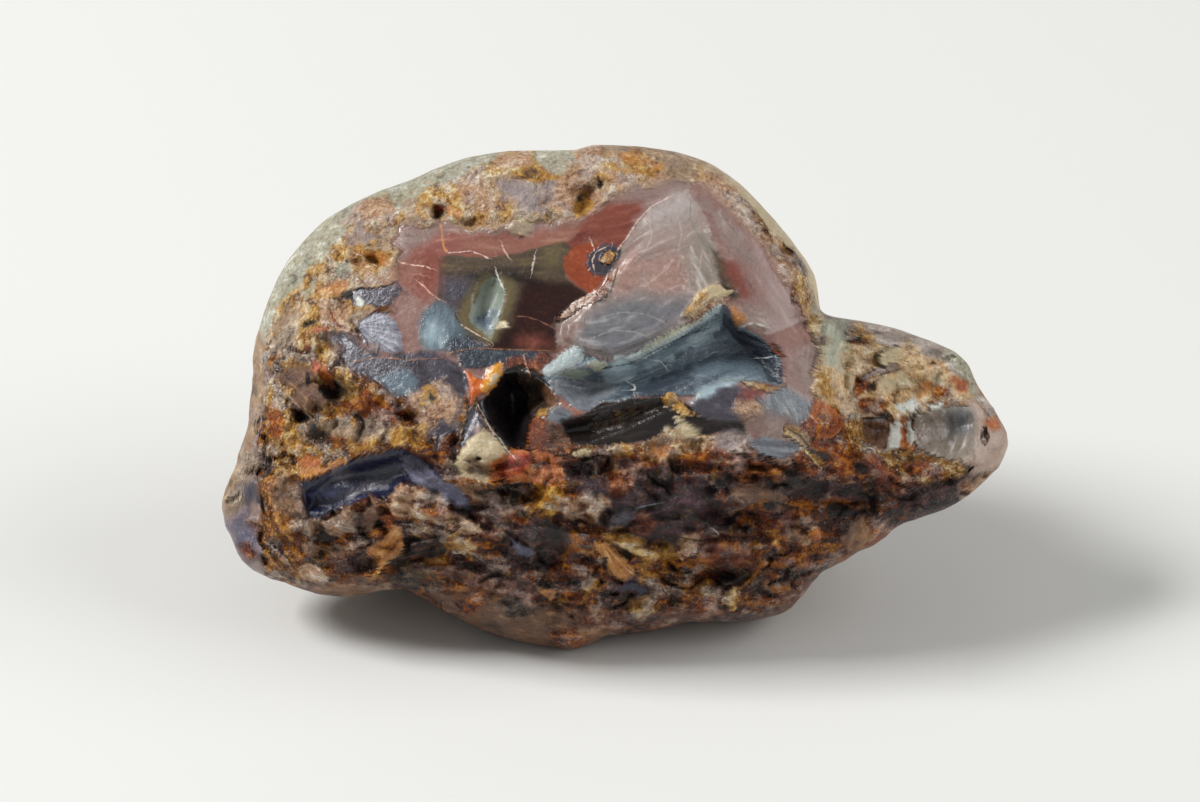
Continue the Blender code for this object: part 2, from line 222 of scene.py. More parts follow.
CARVINGS = {
    "right_lobe_drop": Carving(
        ((22.2, 12), (22.0, 4), (22.2, -1), (21.2, -4.5), (23, -9), (30, -14), (46, -10), (46, 12)),
        -4.0, 2.6, (26, 1), (26, -9),
    ),
    "pale_facet": Carving(
        ((-3.8, 7.8), (0, 11.2), (4, 16), (9, 21), (12.2, 16.8), (13.5, 11.2), (11.8, 9.5),
         (6.8, 6.4), (1.2, 4), (-2, 4.8), (-4, 6)),
        1.1, 0.8, (-3, 8), (8, 19),
    ),
    "slate_pocket": Carving(
        ((-5.2, 1.5), (-4, 2.8), (-1, 3.8), (1.2, 3.8), (4, 4.8), (6.8, 6.4), (9, 7.8), (11.8, 9.5),
         (12.8, 9.0), (16, 7), (18, 5.2), (18.4, 1.2), (14.5, 2.2), (12, 2.3), (9.5, 1.5), (6, 0.5),
         (2.5, -0.2), (-1, -1.5), (-3, -0.8)),
        -3.4, 2.6,
    ),
    "black_hollow": Carving(
        ((-10, 2.8), (-8, 3.2), (-5.2, 2.3), (-4.4, 0.8), (-3.6, -0.4), (-5.2, -1.5), (-6.8, -2.5),
         (-7.2, -4.8), (-8.8, -5.6), (-10, -4), (-11.2, -2.5), (-12.1, -0.2)),
        -4.4, 2.2,
    ),
    "smoky_channel": Carving(
        ((-4.5, -2), (0, -0.8), (4, 0.2), (8, 0.5), (9, -0.8), (6, -1.5), (3, -3), (-1, -4.5),
         (-4.5, -4.6), (-5.5, -3)),
        -1.6, 1.6,
    ),
    "right_scoop": Carving(
        ((24, -2.6), (26, -1.3), (30, -1), (34, -0.4), (37.2, -1), (37.8, -2.6), (36.5, -5.6),
         (33.5, -6.8), (30, -6.2), (27, -5), (25, -4)),
        -2.6, 2.4,
    ),
    "indigo_hollow": Carving(
        ((-30, -9), (-27, -7), (-23, -5.8), (-19, -4.8), (-16, -5.5), (-15, -7), (-17, -8),
         (-20, -8.6), (-20.5, -9.8), (-24, -10.4), (-27, -11.6), (-29.6, -11.4)),
        -1.6, 1.2,
    ),
    "left_cleft": Carving(
        ((-28.2, 3.4), (-25.5, 2.2), (-23.8, 1.4), (-23.4, -0.3), (-25.2, -1.3), (-27.2, -0.4),
         (-28.4, 1)),
        -3.4, 1.4,
    ),
    "left_deep_vug": Carving(
        ((-31.2, -0.4), (-29.4, -0.8), (-28, -1.9), (-29, -3), (-30.6, -2.6)), -3.0, 1.3,
    ),
    "orange_lined_vug": Carving(
        ((-24, 14.6), (-22.6, 14.9), (-21.4, 14.0), (-21.8, 12.9), (-23.2, 13.2)), -2.2, 1.0,
    ),
    "top_vug": Carving(
        ((-17.2, 19.6), (-15.6, 19.9), (-14.8, 18.6), (-15.6, 17.4), (-17, 17.8)), -2.2, 1.1,
    ),
    "twin_vug": Carving(
        ((-2.9, 20.6), (-0.5, 22.6), (1.2, 22.2), (0.6, 20), (-1.4, 18.2), (-2.8, 18.4)), -1.6, 1.1,
    ),
    "chip_hollow": Carving(
        ((-12.2, 12.4), (-10, 13.2), (-9.4, 10.5), (-10.2, 8), (-11.6, 6.4), (-13, 8.2), (-13, 10.6)),
        -1.0, 1.2,
    ),
    "cream_plate": Carving(
        ((-12, -0.2), (-10.8, -3.2), (-8.8, -5.5), (-10.5, -7.5), (-14.2, -7.2), (-14.5, -5.5),
         (-13, -2.5)),
        0.9, 1.2,
    ),
    "fibrous_vug": Carving(
        ((-11.2, -9), (-9.5, -7.8), (-7, -7.5), (-5.2, -8.5), (-4.7, -10), (-6.5, -11.2),
         (-9.5, -11.2), (-11, -10.3)),
        -1.6, 1.2,
    ),
    "left_undercut": Carving(
        ((-20.2, -16), (-17, -14), (-13, -14.5), (-11, -16), (-14, -17.2), (-18, -17.5)), -2.2, 1.6,
    ),
    "right_undercut": Carving(
        ((8.8, -11.5), (10.5, -9.7), (13.5, -10), (16, -11), (19, -10.8), (17.5, -12.5),
         (14.5, -13.5), (11.5, -13.2)),
        -2.2, 1.3,
    ),
    "lobe_undercut": Carving(
        ((20, -9.6), (24, -9), (28, -10), (25, -11.4), (21, -11.2)), -2.0, 1.3,
    ),
    "lower_right_vug": Carving(
        ((5.2, -16), (8, -15), (11, -16), (13.5, -15.2), (14, -18), (11.5, -19), (8, -18.2)),
        -1.6, 1.2,
    ),
    "ridge_crest": Carving(
        ((3.8, -5.6), (7, -4), (12, -4.3), (17, -4.6), (20.5, -5.4), (19, -6.8), (12, -6.4),
         (6, -6.8)),
        1.0, 1.3,
    ),
}

# The smooth agate inside the rough crust.
HEART = (
    (-25, 8), (-24, 12.5), (-20, 17), (-14, 16.8), (-8, 16), (-3, 18), (3, 19), (9, 21.5), (14, 19),
    (17.5, 13), (20, 6), (21.5, -1), (20.5, -5), (12, -3.6), (2, -4.8), (-6, -5.5), (-14, -3.5),
    (-20, 0), (-25, 4),
)

# The stone's minerals. Rind and crust first, then the agate, then what fills the hollows and the painted
# shade of holes.
CHALK = Finish("#746C56", "#A8A48E", "#DCD9CA", 0.66, 0.12)
GREEN_CHALK = Finish("#7F8272", "#A9AC98", "#CDCDB8", 0.70, 0.08)
TAN_RIND = Finish("#705C48", "#9C8268", "#C6AE8E", 0.60, 0.12)
LILAC_GREY = Finish("#6A5C5A", "#907F7C", "#AE9E9A", 0.40, 0.10)
OCHRE_CRUST = Finish("#885C32", "#C8A26C", "#EEDAB2", 0.28, 0.18, 0.45)
PINK_CRUST = Finish("#84604C", "#B89478", "#E2CAB2", 0.28, 0.15, 0.3)
BROWN_CRUST = Finish("#2C150A", "#7C4C28", "#C89A68", 0.26, 0.22, 0.55)
SUGARY = Finish("#5E4028", "#AC8456", "#ECD0A4", 0.24, 0.24, 1.0)
YELLOW_OCHRE = Finish("#7A5028", "#B4884E", "#E2C690", 0.36, 0.15, 0.2)
AMBER = Finish("#6A3812", "#B0702C", "#E8BC78", 0.30, 0.08)
ORANGE = Finish("#6A2C0E", "#AA5A22", "#DC9C58", 0.30, 0.08)
RUST = Finish("#42190A", "#8C4420", "#C88448", 0.28, 0.18, 0.4)
RED = Finish("#6E1A0A", "#A83818", "#DC7444", 0.28, 0.11)
CREAM = Finish("#968060", "#BEAB86", "#E8DEC2", 0.42, 0.06)
WHITE_QUARTZ = Finish("#989A92", "#CCCEC4", "#F0F0E8", 0.30, 0.05, 0.3)
TERRACOTTA = Finish("#6A3A32", "#8A564C", "#AC7868", 0.24, 0.006)
PINK_AGATE = Finish("#6A4C48", "#886860", "#A68880", 0.26, 0.006)
GREY_PINK = Finish("#685450", "#867068", "#A89690", 0.30, 0.010)
SALMON = Finish("#6E4036", "#8A5C4E", "#A87C6A", 0.24, 0.006)
RED_AGATE = Finish("#5A2A22", "#7A4034", "#965C4C", 0.24, 0.006)
EYE_ORANGE = Finish("#702E1A", "#8C4126", "#A85C3E", 0.22, 0.004)
OLIVE_AGATE = Finish("#30261E", "#504234", "#6E5C3E", 0.28, 0.006)
DARK_AGATE = Finish("#100403", "#270C06", "#441A10", 0.24, 0.004)
HALO = Finish("#3A3020", "#64583A", "#948660", 0.32, 0.008)
GREEN_CHIP = Finish("#545E58", "#7A8276", "#A6AEA0", 0.60, 0.02)
SLATE = Finish("#3E4852", "#5C6A74", "#8696A0", 0.22, 0.02)
POCKET_SLATE = Finish("#3E4852", "#5C6A74", "#94A4AE", 0.20, 0.05)
DARK_SLATE = Finish("#1A1E25", "#323842", "#58626C", 0.20, 0.04)
SLATE_LIGHT = Finish("#687A84", "#94A6AE", "#CAD6D8", 0.24, 0.02)
SLATE_MAUVE = Finish("#2C282F", "#47434D", "#6E6C78", 0.26, 0.02)
BLUE_GREY = Finish("#4A4E56", "#70747A", "#9CA0A2", 0.28, 0.02)
ICE = Finish("#7C8E96", "#B0BCBC", "#EAEEE8", 0.30, 0.06)
MAUVE = Finish("#201D23", "#3C373F", "#67616A", 0.28, 0.02)
FACET_ROSE = Finish("#84665C", "#9E7E74", "#C0A69C", 0.28, 0.008)
FACET_PINK = Finish("#7C6862", "#9A8880", "#CABAB4", 0.28, 0.008)
FACET_GREY = Finish("#525256", "#6E6E72", "#9A999C", 0.28, 0.008)
FACET_PALE = Finish("#8C7E7A", "#ACA09C", "#DCD2CE", 0.34, 0.012)
CRUMBLE = Finish("#A67E6C", "#D2B6A8", "#EEE0D4", 0.50, 0.20)
INDIGO = Finish("#05060F", "#11142E", "#303A68", 0.32, 0.03)
LILAC_BLUE = Finish("#2E2C3E", "#504F64", "#84829C", 0.36, 0.08)
SMOKY = Finish("#0D0808", "#1C1513", "#3A302A", 0.30, 0.02)
BLACK_GLASS = Finish("#080506", "#161012", "#2C2422", 0.30, 0.006)
# Painted shade: the near-black that stands for the shadow inside holes, slits and pits.
HOLE_SHADE = Finish("#0A0605", "#170E0B", "#2C1C14", 0.60, 0.10)
OLIVE_BLACK = Finish("#120A05", "#2E2014", "#5C4830", 0.38, 0.16)
TAUPE = Finish("#422C1E", "#84644C", "#BC9E84", 0.36, 0.14)
LEDGE_BROWN = Finish("#1A0A05", "#592710", "#A66A3A", 0.27, 0.22, 0.35)
LEDGE_MAUVE = Finish("#301A14", "#6A463A", "#A88878", 0.34, 0.15, 0.2)
RED_BROWN = Finish("#321008", "#72361F", "#AA7048", 0.30, 0.14)
PURPLE_BROWN = Finish("#0C0505", "#2A1315", "#5C3832", 0.30, 0.14, 0.1)
GLASSY_BROWN = Finish("#331E12", "#684630", "#9C7652", 0.32, 0.09)
SILVER = Finish("#665A4E", "#908478", "#D2CCC6", 0.20, 0.015)
PINK_TIP = Finish("#80685A", "#A48C7C", "#C6AE9E", 0.32, 0.02)
FIBROUS = Finish("#34190C", "#9E6C3A", "#DAB270", 0.32, 0.20, 0.3)
RIND_BROWN = Finish("#4A3224", "#7E5C46", "#AE9076")
RIM_LILAC = Finish("#786C64", "#A89A90", "#D2C8BC", 0.50, 0.10)
VIOLET_DARK = Finish("#0C0407", "#241014", "#4C2C38", 0.48, 0.12, 0.1)
GOLD_BLADE = Finish("#80480E", "#CC8A2E", "#F4D48A", 0.24, 0.02)
ORANGE_BLADE = Finish("#7A300C", "#BC5A1C", "#E89A52", 0.26, 0.03)
PALE_OCHRE = Finish("#946C42", "#DAB688", "#F8ECD0", 0.26, 0.11, 0.4)
CREST_TAN = Finish("#50341E", "#8C6A4A", "#DCC6A2", 0.38, 0.14, 0.4)
FEATHER = Finish("#44424E", "#7C7C88", "#BCBAC0", 0.30, 0.03)
RUST_STAIN = "#7E3E18"
GOLD_STAIN = "#BE8C52"
# Painted shade for the crust's crevices and pits, and also the colour of its dark crystal grains.
SHADE_AND_DARK_GRAIN = "#2E170B"
# Painted glint on the crust's crystal grains.
PAINTED_GLINT = "#EFE6D2"

# Short names for the zones below. Each zone gives its mineral, its outline, how its tones run and
# their lie.
S, R, N, B = Pattern.STREAKED, Pattern.RIPPLED, Pattern.FANNED, Pattern.BANDED

# The broad grounds of the face, which the finer zones lie on.
GROUNDS = (
    Patch(LEDGE_BROWN, "280,470 400,440 560,440 700,445 1010,465 960,530 820,590 740,630 600,650 460,630 "
        "380,600 280,600", S, (-3.0,), soft=0.6, ragged=1.0),
    Patch(OCHRE_CRUST, "250,350 262,290 300,250 380,200 480,150 600,140 710,155 715,190 640,205 560,235 "
        "470,240 415,240 390,290 345,330 330,380 262,395", soft=0.5, ragged=0.8),
    Patch(BROWN_CRUST, "250,350 300,345 380,395 450,420 420,450 330,470 300,500 300,590 270,580 215,520 "
        "240,440", soft=0.5, ragged=0.8),
    Patch(PALE_OCHRE, "815,340 930,345 975,375 985,400 930,415 850,420 820,400 812,370",
        soft=0.4, ragged=0.6),
    Patch(PINK_AGATE, "392,240 402,222 520,232 600,200 660,182 705,178 745,210 790,270 805,320 822,350 "
        "820,385 812,440 700,450 560,440 480,400 340,375 360,330 394,310",
        S, (-20.0,), soft=0.3, ragged=0.5),
    Patch(LEDGE_MAUVE, "560,640 575,612 640,612 680,606 760,612 880,545 850,575 770,625 680,635 600,652",
        S, (8.0,), soft=0.6, ragged=0.6),
)

# Chalky rind along the upper rim, and the crust that lies under it on the left and the top.
RIM = (
    Patch(CHALK, "240,345 250,300 280,250 310,215 350,190 400,170 440,155 500,140 500,157 425,190 "
        "415,203 350,225 345,236 332,246 322,262 305,272 300,288 284,298 274,318 266,345",
        soft=0.15, ragged=0.5),
    Patch(TAN_RIND, "238,460 246,420 256,330 268,338 268,372 256,450 262,470 235,480",
        S, (85.0,), soft=0.3),
    Patch(CHALK, "534,140 572,140 577,160 572,172 560,176 546,171 534,160", soft=0.2),
    Patch(CREAM, "655,145 705,150 745,175 785,215 810,245 825,310 818,312 806,270 795,252 774,238 "
        "756,212 735,190 714,174 690,160 660,152", soft=0.25, ragged=0.3),
    Patch(OCHRE_CRUST, "772,232 790,250 803,278 812,310 822,318 822,372 828,400 814,396 818,350 808,330 "
        "790,270 775,250", soft=0.25),
    Patch(RIM_LILAC, "840,312 905,325 972,352 980,392 1004,420 990,418 968,384 940,362 918,352 895,346 "
        "868,340 844,340", S, (-12.0,), soft=0.25, ragged=0.5),
    Patch(GREEN_CHALK, "820,312 846,314 846,344 842,362 846,378 826,372 820,345",
        S, (80.0,), soft=1.0, ragged=0.6),
    Patch(CHALK, "945,352 966,352 976,382 974,398", soft=0.3),
    Patch(TAN_RIND, "268,340 276,318 290,305 300,318 292,340 278,352", soft=0.4),
    Patch(PINK_CRUST, "345,222 362,200 385,198 398,208 392,222", soft=0.4, ragged=0.5),
    Patch(LILAC_GREY, "348,236 352,228 364,225 377,231 372,240 350,252", soft=0.8, ragged=0.6),
    Patch(TAN_RIND, "398,200 412,198 420,214 436,222 430,226 404,224", soft=0.3),
    Patch(PINK_CRUST, "455,182 470,172 492,184 500,208 480,214 462,205", soft=0.4),
    Patch(LILAC_GREY, "494,174 508,172 522,184 556,178 568,188 556,206 536,214 508,206 496,192",
        soft=1.3, ragged=1.0),
    Patch(PINK_CRUST, "478,172 498,156 530,152 534,162 524,172 492,170", soft=0.3),
    Patch(PINK_CRUST, "574,150 586,142 602,142 602,158 592,168 578,168", soft=0.25),
    Patch(TAN_RIND, "600,142 650,144 690,150 705,162 700,182 684,182 664,176 660,160 632,150 604,156",
        soft=0.3),
    Patch(PINK_CRUST, "560,172 590,168 664,178 660,184 620,196 580,222 562,222 556,205",
        S, (15.0,), soft=0.8, ragged=0.6),
    Patch(PINK_CRUST, "702,170 718,174 738,190 752,214 738,212 716,198 702,184", soft=0.8),
    Patch(PINK_CRUST, "716,200 745,205 795,262 798,300 765,250", soft=0.5),
)

# Vugs, grains and splinters of the upper crust.
UPPER_CRUST = (
    Patch(YELLOW_OCHRE, "350,247 386,236 390,250 398,264 392,272 366,250 352,253"),
    Patch(AMBER, "353,248 376,252 387,256 391,261 386,267 379,267 373,260 354,252", soft=0.08, ragged=0.1),
    Patch(HOLE_SHADE, "376,257 384,258 389,262 385,266 378,265", soft=0.15, ragged=0.1),
    Patch(PINK_CRUST, "360,258 382,272 398,268 400,280 370,289 360,282 362,268", soft=0.5),
    Patch(AMBER, "320,288 328,281 344,277 350,282 347,291 335,297 324,296", soft=0.5, ragged=0.6),
    Patch(CHALK, "334,272 338,263 348,261 350,270 346,277 336,276"),
    Patch(CHALK, "309,280 316,278 313,298 304,300 302,291 310,289"),
    Patch(HOLE_SHADE, "346,292 350,290 353,300 330,298", soft=0.2),
    Patch(SLATE_MAUVE, "350,292 362,288 378,288 398,281 402,292 394,302 380,308 352,306", S, (60.0,)),
    Patch(WHITE_QUARTZ, "354,301 359,295 367,305 358,307", ragged=0.15),
    Patch(PINK_CRUST, "317,302 335,299 348,301 352,312 344,322 350,329 336,328 322,320"),
    Patch(TAN_RIND, "345,320 352,311 377,304 376,309 356,321 346,325"),
    Patch(HOLE_SHADE, "300,330 304,322 321,317 316,324", ragged=0.15, rise=-0.5),
    Patch(ORANGE, "302,333 318,325 331,327 332,333 310,335", rise=0.4),
    Patch(CREAM, "311,334 316,336 317,346 313,351 310,343"),
    Patch(ORANGE, "304,338 310,340 311,352 305,353", soft=0.2),
    Patch(TAUPE, "322,332 334,330 347,336 350,346 342,354 330,352 324,344"),
    Patch(HOLE_SHADE, "433,205 447,206 447,212 442,214 443,219 435,219", soft=0.15, ragged=0.15),
    Patch(RED, "438,206 445,206 446,211 440,213", soft=0.2, ragged=0.1),
    Patch(YELLOW_OCHRE, "416,205 428,199 434,204 433,218 424,220 418,214"),
    Patch(AMBER, "444,200 465,215 460,218 448,214 448,206"),
    Patch(YELLOW_OCHRE, "522,170 532,166 562,176 548,182 528,182"),
    Patch(OLIVE_BLACK, "524,172 531,167 539,173 534,178 527,177", soft=0.25, ragged=0.2),
    Patch(CREAM, "506,229 511,220 525,217 535,224 534,231 521,236 508,233", rise=0.3),
    Patch(YELLOW_OCHRE, "590,182 597,172 606,173 611,188 606,193 594,190"),
    Patch(HOLE_SHADE, "599,176 603,184 601,191 598,184", soft=0.08, ragged=0.1),
    Patch(YELLOW_OCHRE, "580,191 588,190 592,203 585,216 576,218 573,208"),
    Patch(HOLE_SHADE, "577,197 582,197 582,203 578,203", ragged=0.1),
    Patch(YELLOW_OCHRE, "614,157 622,151 636,152 650,157 663,166 660,171 642,167 622,162",
        soft=0.25, ragged=0.3, rise=-0.4),
    Patch(AMBER, "620,156 636,155 652,161 656,167 640,164", soft=0.5, ragged=0.3),
    Patch(YELLOW_OCHRE, "612,162 660,172 650,178 624,174 614,170"),
)

# The smooth agate: pink bands, the orange eye, the olive and dark middle and the chip.
HEART_ZONES = (
    Patch(PINK_AGATE, "706,186 726,206 776,270 800,310 812,350 806,392 790,392 786,350 768,322 748,300 "
        "742,270 722,236 704,210", S, (-58.0,), soft=0.8),
    Patch(GREY_PINK, "400,238 410,224 440,226 505,226 560,222 560,238 505,234 470,238 440,236 424,250 "
        "404,262", S, (0.0,), soft=1.4),
    Patch(TERRACOTTA, "408,252 424,244 440,232 480,236 530,236 570,226 575,240 540,252 487,260 440,258 "
        "440,288 430,302 412,300 400,284", S, (4.0,), soft=0.5),
    Patch(SALMON, "462,232 500,240 545,234 592,216 586,238 566,244 530,252 490,254 464,248",
        S, (4.0,), soft=0.8),
    Patch(RED_AGATE, "568,240 590,218 608,203 640,199 658,203 636,223 626,240 619,248 605,247 590,241 "
        "578,250 562,254", S, (14.0,), soft=0.4, ragged=0.2),
    Patch(GREY_PINK, "612,198 640,184 680,179 692,184 668,196 650,203 620,201",
        S, (10.0,), soft=0.8, ragged=0.2),
    Patch(PINK_AGATE, "394,300 412,294 426,300 419,348 404,352 394,335", soft=0.7, ragged=0.2),
    Patch(OLIVE_AGATE, "437,259 455,255 487,258 520,252 566,240 574,250 566,262 566,280 592,296 560,330 "
        "556,352 470,352 430,350 419,344 421,312 436,302 439,285", S, (2.0,), soft=0.15, ragged=0.1),
    Patch(SMOKY, "456,271 490,269 535,270 540,284 500,288 470,282", S, (0.0,), soft=0.9),
    Patch(SLATE_MAUVE, "442,276 462,276 474,290 458,310 442,304", soft=1.1),
    Patch(HALO, "544,250 560,246 556,264 546,272", soft=1.2),
    Patch(DARK_AGATE, "524,278 566,282 592,296 560,322 562,334 556,352 486,352 488,342 504,328 516,312",
        soft=0.7, ragged=0.2),
    Patch(RED_AGATE, "520,344 540,336 552,344 530,350", soft=1.2),
    Patch(SLATE, "421,312 436,302 452,306 468,334 470,350 440,350 425,348 419,334",
        S, (78.0,), soft=0.5, ragged=0.2),
    Patch(SLATE_LIGHT, "422,338 425,322 434,318 444,330 440,346 426,346", S, (78.0,), soft=0.7),
    Patch(DARK_SLATE, "446,346 466,332 484,340 492,352 470,356 450,356", soft=0.6),
    Patch(HALO, "459,318 463,302 474,284 486,275 504,275 516,284 514,300 508,314 496,338 488,344 470,332",
        B, soft=0.5, ragged=0.15),
    Patch(GREEN_CHIP, "470,318 475,300 481,286 490,278 500,279 505,292 503,305 498,314 498,322 489,339 "
        "482,331 473,326", S, (70.0,), soft=0.1, ragged=0.12, rise=-0.2),
    Patch(SLATE, "476,318 490,306 498,316 494,330 486,332", S, (60.0,), soft=0.5),
    Patch(CREAM, "495,328 500,321 506,322 509,327 500,330", ragged=0.1),
    Patch(EYE_ORANGE, "564,268 565,256 574,247 592,242 608,247 618,252 610,276 603,289 592,294 578,286 "
        "567,277", soft=0.22, ragged=0.1),
    Patch(RED_AGATE, "408,256 430,252 437,262 436,286 426,296 412,290", soft=1.4),
    Patch(MAUVE, "588,266 589,254 598,246 612,244 622,250 618,266 608,276 594,274",
        B, soft=0.2, ragged=0.4),
    Patch(YELLOW_OCHRE, "600,262 601,255 608,249 616,253 616,259 609,266",
        soft=0.12, ragged=0.4, rise=0.3),
    Patch(SALMON, "396,262 416,264 408,284 396,280", soft=1.2),
    Patch(FEATHER, "357,325 361,318 372,312 384,312 396,322 402,338 404,352 390,355 380,350 374,354 "
        "366,346 362,334", N, (357, 325), soft=0.15, ragged=0.3, rise=0.2, ripple=0.06),
    Patch(LILAC_GREY, "365,344 371,340 380,346 378,353 370,354", soft=0.25),
    Patch(SLATE_MAUVE, "330,334 344,331 357,335 363,345 365,353 352,356 338,350", soft=0.5),
)

# The grey-mauve ground under the agate, with the gold and cream blades in it.
MIDDLE = (
    Patch(MAUVE, "338,352 366,355 402,354 420,352 448,354 462,367 468,385 456,430 440,446 424,436 "
        "415,425 410,402 352,374", S, (-25.0,), soft=0.3, ragged=0.4),
    Patch(SLATE, "380,378 395,371 416,372 422,382 412,394 396,396 386,388", soft=0.4),
    Patch(SLATE_MAUVE, "354,358 372,356 380,364 372,374 358,368", soft=0.5),
    Patch(SLATE_MAUVE, "428,352 446,352 448,370 436,380 426,372", soft=0.4),
    Patch(PINK_CRUST, "408,400 420,388 446,384 458,400 452,420 436,426 414,416", soft=0.5, ragged=0.5),
    Patch(YELLOW_OCHRE, "422,388 428,384 436,390 438,402 412,412 422,400", ragged=0.15),
    Patch(HOLE_SHADE, "429,394 434,394 436,400 431,403 428,399", soft=0.06, ragged=0.08),
    Patch(DARK_SLATE, "458,356 470,350 548,351 548,360 530,364 500,364 480,368 462,367",
        soft=0.2, ragged=0.1),
    Patch(RED_BROWN, "500,360 530,358 546,354 546,364 536,374 512,372", soft=0.3),
    Patch(ORANGE_BLADE, "464,369 470,371 475,378 484,381 492,386 484,394 476,398 471,410 467,413 469,398 "
        "467,384", S, (50.0,), soft=0.08, ragged=0.12, rise=0.4),
    Patch(GOLD_BLADE, "505,361 502,374 494,387 486,394 479,391 483,381 488,370 494,364",
        S, (55.0,), soft=0.12, ragged=0.12, rise=0.4),
    Patch(CREAM, "490,379 495,374 500,377 494,385 489,386", ragged=0.15),
    Patch(RUST, "447,440 453,433 462,433 460,446 455,457 449,450", soft=0.1, ragged=0.15),
    Patch(HOLE_SHADE, "450,449 459,444 457,454 453,459", soft=0.15, ragged=0.1),
    Patch(SLATE_MAUVE, "468,404 474,402 481,414 485,426 478,432 460,455 462,436", soft=0.15, ragged=0.1),
    Patch(CREAM, "484,428 492,436 500,440 506,449 513,456 496,459 478,457 460,461 456,458 470,438 "
        "477,431", soft=0.12, ragged=0.15, rise=0.25),
    Patch(GREY_PINK, "473,428 479,424 483,430 476,437", soft=0.15, ragged=0.1),
    Patch(CREAM, "452,464 458,459 480,458 502,459 506,466 498,474 492,483 474,480 460,475",
        S, (-8.0,), soft=0.2, ragged=0.3),
    Patch(TAN_RIND, "470,462 490,460 496,468 484,476 470,472", soft=0.4),
    Patch(BLACK_GLASS, "500,380 506,368 520,366 546,374 554,388 552,400 540,415 530,424 528,440 524,452 "
        "512,456 499,440 477,402 488,394", soft=0.08, ragged=0.08),
    Patch(OLIVE_BLACK, "518,374 540,375 550,386 556,397 548,412 532,414 522,406 516,390",
        S, (80.0,), soft=0.5, ragged=0.2),
    Patch(BLACK_GLASS, "498,388 514,378 528,396 524,424 512,432 500,412",
        soft=0.08, ragged=0.08, rise=-1.2, wall=1.8),
    Patch(GLASSY_BROWN, "540,386 548,384 560,403 549,409 543,398", S, (70.0,), soft=0.25, ragged=0.1),
    Patch(RED_BROWN, "528,426 535,417 547,420 549,434 549,449 540,455 531,451 528,440",
        soft=0.25, ragged=0.2),
    Patch(GLASSY_BROWN, "550,424 566,424 578,432 572,444 552,446", soft=0.4),
    Patch(BLUE_GREY, "547,409 556,403 570,411 576,421 562,425 548,419",
        S, (-20.0,), soft=0.12, ragged=0.15),
    Patch(YELLOW_OCHRE, "532,415 540,409 548,408 549,414 540,416", ragged=0.15),
)

